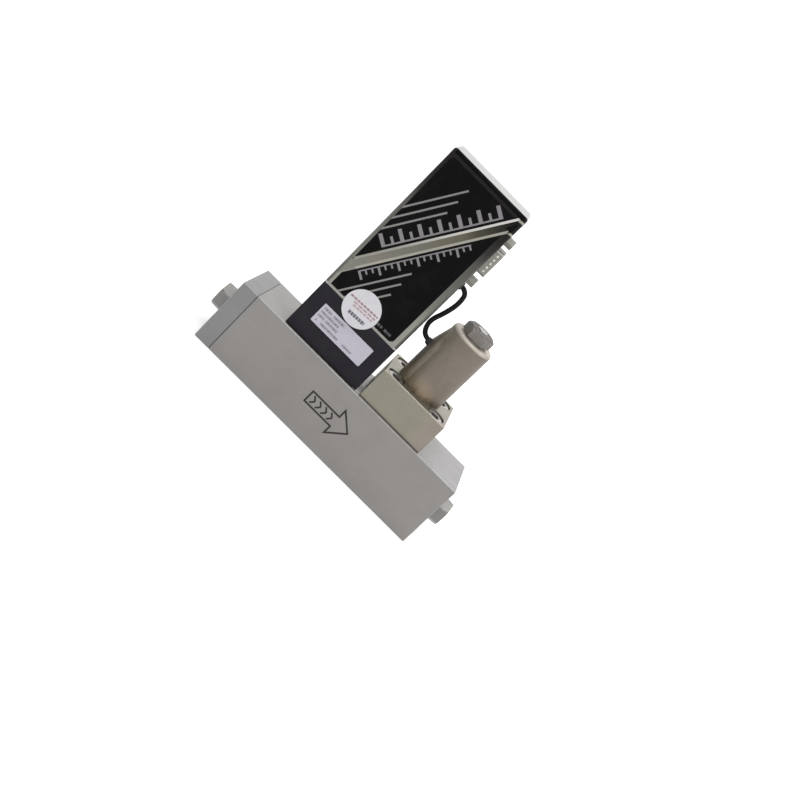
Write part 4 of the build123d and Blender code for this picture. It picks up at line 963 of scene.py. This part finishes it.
# ---- Printed pieces ------------------------------------------------------------------------


@dataclass(frozen=True)
class Scale:
    """A plain scale of ticks that stand on one rail along the band, above it or below it.

    The rail's edge lies at base across the band, and it runs on over the end ticks. The
    long and short ticks have a width and a reach, and every so many is a long one.
    """

    name: str
    first: float
    pitch: float
    count: int
    base: float
    side: int
    rail: float
    over: float
    every: int
    long: Point2
    short: Point2


@dataclass
class LabelPrint:
    """The print on the can's foil label: black fields, a diagonal band, pinstripes and scales.

    The band rises to the right. Places across it are distances along its normal, which
    points down to the right, and places along it are distances along its direction. All
    sizes are in millimetres, and bare foil frames the print on the left, right and top.
    """

    palette: Palette
    slope_deg: float = 58.7
    line_run: Point2 = (30.0, 140.0)
    band_run: Point2 = (30.0, 125.0)
    upper_line: float = -77.5
    lower_line: float = -73.1
    line_width: float = 1.15
    bend_top: Point2 = (-0.9, 147.4)
    bend_low: Point2 = (-0.85, 140.0)
    bend_width: float = 1.2
    bend_overlap: float = 0.5
    notch_left: float = -30.0
    notch_gap: float = 2.2
    foot_z: float = 80.7
    foot_width: float = 0.6
    lower_foot_z: float = 78.4
    frame_left: float = -41.8
    frame_right: float = -1.4
    frame_top: float = 146.7
    margin_bottom: float = 148.3
    field_bottom: float = 64.8
    field_left: float = -40.9
    field_thickness: float = 0.03
    top_corner_r: float = 2.2
    low_corner_r: float = 2.3
    pin_width: float = 0.9
    pin_pitch: float = 3.6
    pins: tuple[Point2, ...] = ((-95.0, -25.7), (-64.5, -17.6))
    scales: tuple[Scale, ...] = (
        Scale("label_bold_scale", 62.6, 4.62, 13, -79.3, -1, 0.8, 1.0, 2,
              (1.9, 6.4), (1.3, 3.968)),
        Scale("label_fine_scale", 48.6, 3.1, 18, -71.4, 1, 0.6, 0.6, 3,
              (1.15, 4.4), (0.85, 2.64)),
    )
    small_z: float = 67.1
    small_height: float = 1.3
    small_bars: tuple[Point2, ...] = ((-12.7, 1.5), (-10.7, 1.1), (-8.3, 1.8), (-6.1, 0.7),
                                      (-5.1, 0.9))
    band_span: Point2 = (48.0, 124.0)
    band_stops: tuple[tuple[float, float, float, float], ...] = (
        (0.00, 124, 124, 116), (0.16, 122, 118, 109), (0.34, 115, 114, 105),
        (0.55, 106, 103, 90), (0.68, 98, 95, 82), (0.76, 76, 73, 62), (0.90, 48, 45, 40),
        (1.00, 20, 17, 17))
    line_span: Point2 = (50.0, 124.0)
    line_stops: tuple[tuple[float, float, float, float], ...] = (
        (0.00, 152, 151, 143), (0.25, 160, 158, 151), (0.45, 186, 184, 177),
        (0.70, 208, 205, 199), (1.00, 218, 215, 214))

    def __post_init__(self) -> None:
        """Work out the band's directions and the label's face."""
        angle = math.radians(self.slope_deg)
        self.along = (math.cos(angle), math.sin(angle))
        self.across = (math.sin(angle), -math.cos(angle))
        low, high = box_mm("front_label")
        self.left, self.right = low.x, high.x
        self.bottom, self.top = low.z, high.z
        self.face_y = low.y
        self.over_y = low.y - self.field_thickness
        self.top_bend = [self.bend_top[1] + side * self.bend_width / 2 for side in (-1, 1)]
        self.low_bend = [self.bend_low[1] + side * self.bend_width / 2 for side in (-1, 1)]

    def place(self, along: float, across: float) -> Point2:
        """A point from its distances along and across the band."""
        return (self.along[0] * along + self.across[0] * across,
                self.along[1] * along + self.across[1] * across)

    def strip(self, across: float, width: float, first: float, last: float) -> Outline:
        """A stripe parallel to the band."""
        return bar(self.place(first, across), self.place(last, across), width)

    def trim(self, outline: Outline, left: float, bottom: float, top: float) -> Outline:
        """Cut an outline to an upright rectangle that ends at the label's right edge.

        Args:
            outline: Corners of a convex shape.
            left: Lowest x that is kept.
            bottom: Lowest z that is kept.
            top: Highest z that is kept.

        Returns:
            Corners of what lies inside.
        """
        for point, keep in (((left, 0), (1, 0)), ((self.right, 0), (-1, 0)),
                            ((0, bottom), (0, 1)), ((0, top), (0, -1))):
            outline = cut(outline, point, keep)
        return outline

    def over(self, name: str, finish: str, shapes: list[Outline]) -> bpy.types.Object:
        """Print shapes over the black fields in one of the palette's finishes."""
        return FrontPrint(name, self.over_y, shapes).build(self.palette.get(finish))

    def tint(self, name: str, across: float, span: Point2,
             stops: tuple[tuple[float, float, float, float], ...],
             *shine: float) -> bpy.types.Material:
        """Build a tint that changes along the band.

        Args:
            name: The material's name.
            across: Where it runs across the band.
            span: Where it starts and ends along the band.
            stops: Its shares and display colours.
            shine: Its roughness and how metallic it is, if not the foil's own.

        Returns:
            The material.
        """
        start, end = ((x, self.face_y, z) for x, z in (self.place(s, across) for s in span))
        return GradedFoilFinish(name, start, end, stops, *shine).material()

    def upper_field(self) -> Outline:
        """The black field above the band, with its rounded upper left corner.

        Returns:
            The field's corners.
        """
        r = self.top_corner_r
        corner = arc((self.frame_left + r, self.frame_top - r), r, 180, 90)
        whole = [(self.frame_left, self.bottom), *corner, (self.right, self.frame_top),
                 (self.right, self.bottom)]
        edge = self.upper_line - self.line_width / 2
        return cut(whole, self.place(0, edge), (-self.across[0], -self.across[1]))

    def lower_field(self) -> Outline:
        """The black field below the band, with its rounded lower right corner.

        Returns:
            The field's corners.
        """
        r = self.low_corner_r
        whole = [(self.field_left, self.top), (self.field_left, self.field_bottom),
                 *arc((self.frame_right - r, self.field_bottom + r), r, -90, 0),
                 (self.frame_right, self.top)]
        edge = self.lower_line + self.line_width / 2
        lower = cut(whole, self.place(0, edge), self.across)
        return cut(lower, (0, self.low_bend[0]), (0, -1))

    def notch(self) -> Outline:
        """The black notch between the level ends of the two lines.

        Returns:
            The notch's corners.
        """
        bottom, top = self.low_bend[1], self.top_bend[0]
        whole = [(self.notch_left, bottom), (self.right, bottom), (self.right, top),
                 (self.notch_left, top)]
        edge = self.place(0, self.upper_line + self.line_width / 2)
        return cut(cut(whole, edge, self.across),
                   self.place(0, self.lower_line - self.notch_gap), self.across)

    def fields(self) -> bpy.types.Object:
        """Print the black fields, the black strip of painted dark reflection along the top, and
        the notch.

        Returns:
            The layer's piece.
        """
        # The black strip along the top is painted dark reflection at the can's top edge.
        margin = [(self.left, self.margin_bottom), (self.right, self.margin_bottom),
                  (self.right, self.top), (self.left, self.top)]
        shapes = [self.upper_field(), self.lower_field(), margin, self.notch()]
        layer = FrontPrint("label_black_fields", self.face_y, shapes, self.field_thickness)
        return layer.build(self.palette.get("label_ink"))

    def band(self) -> bpy.types.Object:
        """Print the tinted band between the two lines.

        Returns:
            The layer's piece.
        """
        middle = (self.upper_line + self.lower_line) / 2
        outline = self.strip(middle, self.lower_line - self.upper_line, *self.band_run)
        outline = self.trim(outline, self.left, self.bottom, self.top_bend[0])
        tint = self.tint("band_tint", middle, self.band_span, self.band_stops)
        return FrontPrint("label_diagonal_band", self.face_y, [outline]).build(tint)

    def lines(self) -> list[bpy.types.Object]:
        """Print the pale line above the band, and the duller one with the level ends of both.

        Returns:
            The two layers' pieces.
        """
        upper, lower = (self.strip(across, self.line_width, *self.line_run)
                        for across in (self.upper_line, self.lower_line))
        upper = self.trim(upper, self.left, self.foot_z, self.top_bend[1])
        shapes = [self.trim(lower, self.left, self.lower_foot_z, self.low_bend[1])]
        for x, z in (self.bend_top, self.bend_low):
            shapes.append(bar((x + self.bend_overlap, z), (self.right, z), self.bend_width))
        foot = self.foot_z + self.foot_width / 2
        shapes.append(bar((self.left, foot), (self.frame_left + self.bend_overlap, foot),
                          self.foot_width))
        tint = self.tint("upper_line_tint", self.upper_line, self.line_span, self.line_stops,
                         0.34, 0.5)
        return [FrontPrint("label_upper_line", self.over_y, [upper]).build(tint),
                self.over("label_lower_line", "lower_line_foil", shapes)]

    def pinstripes(self) -> bpy.types.Object:
        """Print three pinstripes above the band and three below it.

        Returns:
            The layer's piece.
        """
        shapes = []
        for start, end in self.pins:
            for across in (start + i * self.pin_pitch for i in range(3)):
                reach = (end - self.across[0] * across) / self.along[0]
                stripe = self.strip(across, self.pin_width, 0.0, reach)
                shapes.append(self.trim(stripe, self.frame_left, self.field_bottom, self.top))
        return self.over("label_pinstripes", "pinstripe_foil", shapes)

    def scale(self, scale: Scale) -> bpy.types.Object:
        """Print one plain scale.

        Args:
            scale: Its sizes.

        Returns:
            The layer's piece.
        """
        last = scale.first + (scale.count - 1) * scale.pitch
        shapes = [self.strip(scale.base + scale.side * scale.rail / 2, scale.rail,
                             scale.first - scale.over, last + scale.over)]
        foot = scale.base + scale.side * scale.rail
        for i in range(scale.count):
            width, reach = scale.short if i % scale.every else scale.long
            here = scale.first + i * scale.pitch
            tip = self.place(here, scale.base + scale.side * reach)
            shapes.append(bar(self.place(here, foot), tip, width))
        return self.over(scale.name, "scale_grey", shapes)

    def small_row(self) -> bpy.types.Object:
        """Print a short row of plain bars in the lower right corner."""
        shapes = [bar((first, self.small_z), (first + wide, self.small_z), self.small_height)
                  for first, wide in self.small_bars]
        return self.over("label_small_row", "small_print_grey", shapes)

    def build(self) -> list[bpy.types.Object]:
        """Make every layer of the label's print."""
        return [self.fields(), self.band(), *self.lines(), self.pinstripes(),
                *(self.scale(scale) for scale in self.scales), self.small_row()]


@dataclass
class LabelWrap:
    """The label's side margins, which fold over the can's rounded front edges, and a black strip
    of painted dark reflection over its rounded top edge. The side margins carry the foil's
    painted reflection, darker towards the top.

    The foil stands proud of the can and its back is sunk in the can's wall. The margins
    overlap the label, and the right one carries the ends of the two pale lines, each with
    its name and height.
    """

    palette: Palette
    edge_r: float = 1.4
    proud: float = 0.05
    sunk: float = 0.06
    fold_deg: float = 88.0
    top_deg: float = 80.0
    steps: int = 10
    side_overlap: float = 0.05
    top_overlap: float = 0.1
    foot_gap: float = 0.8
    line_ends: tuple[tuple[str, float], ...] = (("label_upper_line_end", 147.4),
                                                ("label_lower_line_end", 140.0))
    end_half: float = 0.6

    def column(self, x: float, turn_deg: float, front: float) -> tuple[Point2, Point2]:
        """One upright line of the fold: its centre and its outward direction from above."""
        turn = math.radians(turn_deg)
        return (x, front + self.edge_r), (math.sin(turn), -math.cos(turn))

    def point(self, column: tuple[Point2, Point2], z: float, tilt_deg: float,
              reach: float) -> Vector:
        """Find a point of the sheet.

        Args:
            column: Centre and outward direction of the fold there.
            z: Height of the fold's centre.
            tilt_deg: How far the sheet has turned over the top edge.
            reach: Distance from the fold's centre.

        Returns:
            The point in metres.
        """
        (x, y), (out_x, out_y) = column
        tilt = math.radians(tilt_deg)
        level = reach * math.cos(tilt)
        return Vector((x + out_x * level, y + out_y * level, z + reach * math.sin(tilt))) * MM

    def sheet(self, name: str, columns: list[tuple[Point2, Point2]], rows: list[Point2],
              finish: str, layers: int = 1) -> bpy.types.Object:
        """Make a closed thin sheet over a grid of columns and rows.

        Args:
            name: The piece's name.
            columns: Centres and directions from left to right.
            rows: Height of the fold's centre and tilt, from the bottom up.
            finish: The finish's name.
            layers: How many foils' thickness it stands off the can.

        Returns:
            The sheet, riding on the controller's body.
        """
        mesh = bmesh.new()
        outer, inner = ([[mesh.verts.new(self.point(column, z, tilt, reach))
                          for column in columns] for z, tilt in rows]
                        for reach in (self.edge_r + layers * self.proud,
                                      self.edge_r - self.sunk))
        tall, wide = len(rows) - 1, len(columns) - 1
        for skin in (outer, inner):
            for i in range(tall):
                for j in range(wide):
                    mesh.faces.new((skin[i][j], skin[i][j + 1], skin[i + 1][j + 1],
                                    skin[i + 1][j]))
        rim = [(0, j) for j in range(wide)] + [(i, wide) for i in range(tall)]
        rim += [(tall, j) for j in range(wide, 0, -1)] + [(i, 0) for i in range(tall, 0, -1)]
        for (i, j), (k, l) in zip(rim, rim[1:] + rim[:1]):
            mesh.faces.new((outer[i][j], outer[k][l], inner[k][l], inner[i][j]))
        return add_riding(name, mesh, self.palette.get(finish), smooth=True)

    def build(self) -> list[bpy.types.Object]:
        """Make the left and right margins, the black strip of painted reflection over the top
        edge and the two lines' ends.

        Returns:
            The pieces.
        """
        can_low, can_high = box_mm("electronics_cover")
        low, high = box_mm("front_label")
        shares = [i / self.steps for i in range(self.steps + 1)]
        corner_left, corner_right = can_low.x + self.edge_r, can_high.x - self.edge_r
        left = [self.column(corner_left, -self.fold_deg * (1 - s), can_low.y) for s in shares]
        left.append(self.column(low.x + self.side_overlap, 0.0, can_low.y))
        right = [self.column(corner_right, self.fold_deg * s, can_low.y) for s in shares]
        right.insert(0, self.column(high.x - self.side_overlap, 0.0, can_low.y))
        top = [self.column(x, 0.0, can_low.y) for x in (corner_left, corner_right)]
        over = [(can_high.z - self.edge_r, self.top_deg * s) for s in shares]
        upright = [(low.z + self.foot_gap, 0.0), *over]
        crown = [(high.z - self.top_overlap, 0.0), *over]
        # The side margins carry the foil's painted reflection, darker towards the top; the black
        # top strip is painted dark reflection over the can's top edge.
        made = [self.sheet("label_left_margin", left, upright, "label_foil"),
                self.sheet("label_right_margin", right, upright, "label_foil"),
                self.sheet("top_edge_painted_reflection", top, crown, "label_ink")]
        for name, z in self.line_ends:
            rows = [(z - self.end_half, 0.0), (z + self.end_half, 0.0)]
            made.append(self.sheet(name, right, rows, "lower_line_foil", layers=2))
        return made


@dataclass
class PlatePrint:
    """Grey print on the data plate: plain bars in rows, and nothing that can be read.

    Each row has its height, then the first and last place of each of its words.
    """

    palette: Palette
    rows: tuple[tuple[float, tuple[Point2, ...]], ...] = (
        (54.5, ((-34.9, -30.2), (-29.0, -22.4))),
        (52.3, ((-34.9, -24.0),)),
        (50.1, ((-35.0, -31.0), (-30.2, -22.8))),
        (47.5, ((-34.4, -33.6), (-31.2, -20.4), (-17.0, -11.4))),
    )
    bar_height: float = 1.2
    dashes: tuple[float, ...] = (0.63, 1.35, 0.9)
    dash_gap: float = 0.28
    thickness: float = 0.015

    def build(self) -> list[bpy.types.Object]:
        """Make the rows of short bars.

        Returns:
            The one piece that holds them all.
        """
        low, _ = box_mm("data_plate")
        shapes = []
        for z, (x, last) in ((z, span) for z, spans in self.rows for span in spans):
            turn = 0
            while x < last:
                wide = self.dashes[turn % len(self.dashes)]
                shapes.append(bar((x, z), (min(x + wide, last), z), self.bar_height))
                x += wide + self.dash_gap
                turn += 1
        layer = FrontPrint("plate_rows", low.y, shapes, self.thickness)
        return [layer.build(self.palette.get("plate_ink"))]


@dataclass
class StickerPrint:
    """Faint plain lines on the round sticker, which rise a little to the right.

    Each row has its name, finish, height, first place, last place, bar height and dash.
    """

    palette: Palette
    tilt_deg: float = 2.6
    gap_share: float = 0.22
    thickness: float = 0.012
    rows: tuple[tuple[str, str, float, float, float, float, float], ...] = (
        ("sticker_row_top", "sticker_red", 68.5, -30.6, -14.2, 0.9, 1.6),
        ("sticker_row_middle", "sticker_pink", 66.9, -27.4, -14.4, 1.0, 2.3),
        ("sticker_row_under", "sticker_pink", 65.4, -26.6, -14.9, 0.9, 1.7),
        ("sticker_row_low", "sticker_grey", 61.8, -26.2, -16.6, 1.7, 1.25),
    )

    def build(self) -> list[bpy.types.Object]:
        """Make the tilted rows of dashes.

        Returns:
            One piece for each row.
        """
        low, high = box_mm("round_sticker")
        middle = (low.x + high.x) / 2
        slope = math.tan(math.radians(self.tilt_deg))
        made = []
        for name, finish, z, x, last, height, dash in self.rows:
            shapes = []
            while x < last:
                end = min(x + dash, last)
                shapes.append(bar((x, z + (x - middle) * slope),
                                  (end, z + (end - middle) * slope), height))
                x = end + dash * self.gap_share
            layer = FrontPrint(name, low.y, shapes, self.thickness)
            made.append(layer.build(self.palette.get(finish)))
        return made


@dataclass
class FlowArrow:
    """The printed outline of an arrow on the body's front, which shows the flow's direction."""

    palette: Palette
    tail_x: float = -11.6
    neck_x: float = 5.6
    tip_x: float = 15.1
    axis_z: float = 18.85
    shaft_half: float = 3.7
    head_half: float = 8.7
    line: float = 0.92
    thickness: float = 0.012
    chevrons: int = 4
    chevron_first: float = 2.6
    chevron_pitch: float = 3.7
    chevron_size: Point2 = (1.9, 2.2)
    chevron_line: float = 0.874

    def outline(self) -> list[Vector]:
        """The arrow's corners, anticlockwise from the tail."""
        shaft, head = self.shaft_half, self.head_half
        return [Vector((x, self.axis_z + rise)) for x, rise in (
            (self.tail_x, -shaft), (self.neck_x, -shaft), (self.neck_x, -head),
            (self.tip_x, 0.0), (self.neck_x, head), (self.neck_x, shaft), (self.tail_x, shaft))]

    def inset(self, corners: list[Vector], i: int) -> Vector:
        """Find the mitred inner corner that belongs to one outer corner.

        Args:
            corners: The outer corners.
            i: The number of one of them.

        Returns:
            Its inner corner.
        """
        here = corners[i]
        before = (here - corners[i - 1]).normalized()
        after = (corners[(i + 1) % len(corners)] - here).normalized()
        inward = Vector((-before.y, before.x))
        middle = (inward + Vector((-after.y, after.x))).normalized()
        return here + middle * (self.line / middle.dot(inward))

    def build(self) -> list[bpy.types.Object]:
        """Make the outline from mitred strokes, and plain chevrons in the shaft.

        Returns:
            The one piece that holds them all.
        """
        low, _ = box_mm("base_block")
        corners = self.outline()
        inner = [self.inset(corners, i) for i in range(len(corners))]
        shapes = []
        for i, corner in enumerate(corners):
            j = (i + 1) % len(corners)
            shapes.append([tuple(p) for p in (corner, corners[j], inner[j], inner[i])])
        depth, half = self.chevron_size
        for i in range(self.chevrons):
            x = self.tail_x + self.chevron_first + i * self.chevron_pitch
            for side in (-1, 1):
                shapes.append(bar((x, self.axis_z + side * half), (x + depth, self.axis_z),
                                  self.chevron_line))
        layer = FrontPrint("flow_arrow_outline", low.y, shapes, self.thickness)
        return [layer.build(self.palette.get("arrow_ink"))]


# ---- Turned and drawn pieces ---------------------------------------------------------------


@dataclass
class Threads:
    """The fine screw threads in the mouths of the two ports, each one helical ridge.

    Each port has the side that its mouth faces along X. The ridge begins at start inside
    the mouth, and its half_width is a share of the pitch.
    """

    palette: Palette
    ports: tuple[tuple[str, int], ...] = (("inlet_fitting", -1), ("outlet_fitting", 1))
    start: float = 8.6
    radius: float = 4.19
    length: float = 7.9
    pitch: float = 0.94
    depth: float = 0.28
    half_width: float = 0.3
    steps: int = 36

    def rings(self) -> list[list[Vector]]:
        """Sweep the ridge's small triangle along a helix about Z.

        Returns:
            The triangle at each step.
        """
        count = int(self.length / self.pitch * self.steps)
        rings = []
        for i in range(count + 1):
            angle = 2 * math.pi * i / self.steps
            fade = min(1.0, i / self.steps, (count - i) / self.steps)
            crest = self.radius - self.depth * fade
            rings.append([Vector((reach * math.cos(angle), reach * math.sin(angle),
                                  self.pitch * (i / self.steps + lift)))
                          for reach, lift in ((self.radius, -self.half_width), (crest, 0.0),
                                              (self.radius, self.half_width))])
        return rings

    def build(self) -> list[bpy.types.Object]:
        """Make a ridge in each port.

        Returns:
            The ridges.
        """
        made = []
        for node, side in self.ports:
            low, high = box_mm(node)
            mouth = low.x if side < 0 else high.x
            centre = Vector((mouth - side * self.start, (low.y + high.y) / 2,
                             (low.z + high.z) / 2))
            turn = Vector((0, 0, 1)).rotation_difference(Vector((side, 0, 0))).to_matrix()
            mesh = bmesh.new()
            skin_rings(mesh, [[centre + turn @ p for p in ring] for ring in self.rings()])
            made.append(add_riding(node + "_thread", mesh, self.palette.get("fitting_steel")))
        return made


@dataclass
class ReturnSpring:
    """The plunger's return spring, between the core and the plunger."""

    palette: Palette
    wire: float = 0.3
    turns: int = 6
    steps: int = 32
    sides: int = 10

    def build(self) -> list[bpy.types.Object]:
        """Coil the wire within the bounds of the CAD spring, which it replaces.

        Returns:
            The spring.
        """
        low, high = box_mm("plunger_spring")
        middle = (low + high) / 2
        radius = (high.x - low.x) / 2 - self.wire
        foot, rise = low.z + self.wire, high.z - low.z - 2 * self.wire
        count = self.turns * self.steps
        turns = [2 * math.pi * k / self.sides for k in range(self.sides)]
        rings = []
        for i in range(count + 1):
            angle = 2 * math.pi * i / self.steps
            outward = Vector((math.cos(angle), math.sin(angle), 0))
            centre = Vector((middle.x, middle.y, foot + rise * i / count)) + outward * radius
            rings.append([centre + self.wire * (outward * math.cos(turn)
                                                + Vector((0, 0, math.sin(turn))))
                          for turn in turns])
        mesh = bmesh.new()
        skin_rings(mesh, rings)
        piece = add_mesh("return_spring", mesh, self.palette.get("spring_steel"), smooth=True)
        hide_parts("plunger_spring")
        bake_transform(piece)
        return [piece]


@dataclass
class ValveLead:
    """The short black lead from the can's grommet to the bush on the coil."""

    palette: Palette
    radius: float = 1.25
    route: tuple[Point3, ...] = (
        (1.2, -4.2, 105.2),
        (6.6, -4.2, 105.2),
        (7.9, -3.8, 98.0),
        (6.3, -3.0, 89.6),
        (4.0, -2.0, 83.0),
        (4.9, -1.0, 77.6),
        (8.1, 0.0, 74.0),
        (14.7, 0.0, 74.0),
    )
    length: float = 44.1
    fineness: int = 24
    roundness: int = 7

    def build(self) -> list[bpy.types.Object]:
        """Returns:
            The lead.
        """
        data = bpy.data.curves.new("lead_sheath", "CURVE")
        data.dimensions = "3D"
        spline = data.splines.new("NURBS")
        spline.points.add(len(self.route) - 1)
        for control, place in zip(spline.points, self.route):
            control.co = (place[0] * MM, place[1] * MM, place[2] * MM, 1.0)
        spline.order_u = 3
        spline.use_endpoint_u = True
        data.resolution_u = self.fineness
        data.bevel_depth = self.radius * MM
        data.bevel_resolution = self.roundness
        data.use_fill_caps = True
        piece = bpy.data.objects.new("lead_sheath", data)
        bpy.context.scene.collection.objects.link(piece)
        data.materials.append(self.palette.get("lead_sheath"))
        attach(piece, CONTROLLER)
        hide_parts("valve_lead")
        return [piece]


@dataclass
class ShellDimples:
    """The row of small grounding dimples along both long sides of the connector's shell."""

    palette: Palette
    count: int = 5
    pitch: float = 2.35
    size: Point3 = (0.65, 0.28, 0.65)
    shell_half: float = 4.15
    from_flange: float = 2.2

    def build(self) -> list[bpy.types.Object]:
        """Make one row of domes on each long side.

        Returns:
            The two rows.
        """
        low, high = box_mm("connector_shell")
        flange_x = box_mm("electronics_cover")[1].x
        middle = (low + high) / 2
        made = []
        for name, side in (("shell_dimples_front", -1), ("shell_dimples_back", 1)):
            mesh = bmesh.new()
            for i in range(self.count):
                z = middle.z + (i - (self.count - 1) / 2) * self.pitch
                place = Vector((flange_x + self.from_flange,
                                middle.y + side * self.shell_half, z)) * MM
                dome = Matrix.Translation(place) @ Matrix.Diagonal((*self.size, 1.0))
                bmesh.ops.create_icosphere(mesh, subdivisions=3, radius=MM, matrix=dome)
            made.append(add_riding(name, mesh, self.palette.get("dimple_plating"), smooth=True))
        return made


# ---- CAD pieces ----------------------------------------------------------------------------


@dataclass
class Construction:
    """The pieces of the construction model, each dressed in the finish of its slot."""

    palette: Palette

    def build(self) -> list[bpy.types.Object]:
        """Give every node the material of its slot in the record.

        Returns:
            The nodes' pieces.
        """
        made = []
        for part in frame["record"]["subparts"]:
            piece = frame["nodes"][part["node"]]
            material = self.palette.get(part["material_slot"])
            if not piece.material_slots:
                piece.data.materials.append(material)
            for holder in piece.material_slots:
                holder.material = material
            made.append(piece)
        return made


# ---- Studio --------------------------------------------------------------------------------


@dataclass
class StudioCamera:
    """The camera, turned about its own axis so that the body runs down to the right.

    It stands at place, looks along +Y turned by yaw to the right and by pitch downwards.
    Its axis meets the image at centre_px, counted from the upper left. The nearest and
    farthest distances that it sees are in metres.
    """

    place: Point3 = (-11.22, -500.42, 205.90)
    yaw_deg: float = 2.289
    pitch_deg: float = 12.675
    roll_deg: float = 45.704
    focal_px: float = 1083.66
    centre_px: Point2 = (454.2, 310.8)
    sensor: float = 36.0
    clip: Point2 = (0.01, 20.0)

    def build(self) -> None:
        """Make the scene's camera."""
        data = bpy.data.cameras.new("studio_camera")
        data.sensor_width = self.sensor
        data.lens = self.focal_px / IMAGE_WIDTH * self.sensor
        data.shift_x = 0.5 - self.centre_px[0] / IMAGE_WIDTH
        data.shift_y = self.centre_px[1] / IMAGE_WIDTH - 0.5
        data.clip_start, data.clip_end = self.clip
        camera = bpy.data.objects.new("studio_camera", data)
        turns = ((-self.yaw_deg, "Z"), (90 - self.pitch_deg, "X"), (self.roll_deg, "Z"))
        matrix = Matrix.Translation(Vector(self.place) * MM)
        for degrees, axis in turns:
            matrix = matrix @ Matrix.Rotation(math.radians(degrees), 4, axis)
        camera.matrix_world = matrix
        bpy.context.scene.collection.objects.link(camera)
        bpy.context.scene.camera = camera


@dataclass
class Studio:
    """A pale floor, a white surround and soft lamps, one of them low behind the object.

    The floor's half side is in metres, and it lies lower than the object by its drop in
    millimetres. Each lamp has its name, place and side in metres and its power in watts.
    """

    floor_half: float = 14.0
    floor_drop: float = 0.05
    floor_tone: Colour = srgb(236, 236, 236)
    floor_roughness: float = 0.9
    floor_glow: float = 0.5
    world_light: float = 0.55
    lamps: tuple[tuple[str, Point3, float, float], ...] = (
        ("softbox_top", (0.05, -0.10, 1.10), 0.9, 5.5),
        ("softbox_right", (1.00, -0.35, 0.60), 0.6, 1.4),
        ("softbox_back", (0.05, 1.10, 0.30), 1.8, 5.5),
    )

    def world(self) -> None:
        """Make a surround that is white to the camera and in reflections, softer as a lamp."""
        world = bpy.data.worlds.new("white_surround")
        world.use_nodes = True
        bpy.context.scene.world = world
        kit = NodeKit(world.node_tree)
        ground = next(node for node in world.node_tree.nodes if node.type == "BACKGROUND")
        ground.inputs["Color"].default_value = WHITE
        path = kit.add("LightPath").outputs
        seen = kit.maths("MAXIMUM", path["Is Camera Ray"],
                         kit.maths("MAXIMUM", path["Is Glossy Ray"], path["Is Transmission Ray"]))
        lift = kit.times(seen, 1.0 - self.world_light)
        kit.feed(ground.inputs["Strength"], kit.maths("ADD", self.world_light, lift))

    def floor(self) -> bpy.types.Object:
        """Make the pale floor, which keeps the object's shadow.

        Returns:
            The floor.
        """
        skin = Skin("floor_paper")
        skin.tone = self.floor_tone
        path = skin.kit.add("LightPath").outputs
        seen = skin.kit.maths("MAXIMUM", path["Is Camera Ray"], path["Is Glossy Ray"])
        paper = skin.done(self.floor_roughness, (), Emission_Color=WHITE,
                          Emission_Strength=skin.kit.times(seen, self.floor_glow))
        mesh = bmesh.new()
        bmesh.ops.create_grid(mesh, x_segments=2, y_segments=2, size=self.floor_half)
        floor = add_mesh("studio_floor", mesh, paper)
        floor.location.z = -self.floor_drop * MM
        return floor

    def lamp(self, name: str, place: Point3, size: float, power: float) -> None:
        """Make one square softbox aimed at the middle of the object.

        Args:
            name: The lamp's name.
            place: Where it hangs, in metres.
            size: Side of its square, in metres.
            power: Its power in watts.
        """
        data = bpy.data.lights.new(name, "AREA")
        data.size = size
        data.energy = power
        lamp = bpy.data.objects.new(name, data)
        lamp.location = place
        lamp.visible_camera = False
        low, high = CAD_BOX
        aim = (low + high) / 2 - Vector(place)
        lamp.rotation_euler = aim.to_track_quat("-Z", "Y").to_euler()
        bpy.context.scene.collection.objects.link(lamp)

    def build(self) -> None:
        """Make the surround, the lamps and the floor."""
        self.world()
        for settings in self.lamps:
            self.lamp(*settings)
        self.floor()


def main() -> None:
    """Build the studio and every piece, and report each piece."""
    logging.basicConfig(level=logging.INFO, format="%(name)s: %(message)s")
    bpy.context.scene.view_settings.view_transform = "Standard"
    palette = Palette()
    StudioCamera().build()
    Studio().build()
    for maker in (ValveLead, Construction, LabelPrint, LabelWrap, PlatePrint, StickerPrint,
                  FlowArrow, Threads, ReturnSpring, ShellDimples):
        for piece in maker(palette).build():
            LOG.info("%s: %s", maker.__name__, piece.name)


if __name__ == "__main__":
    main()
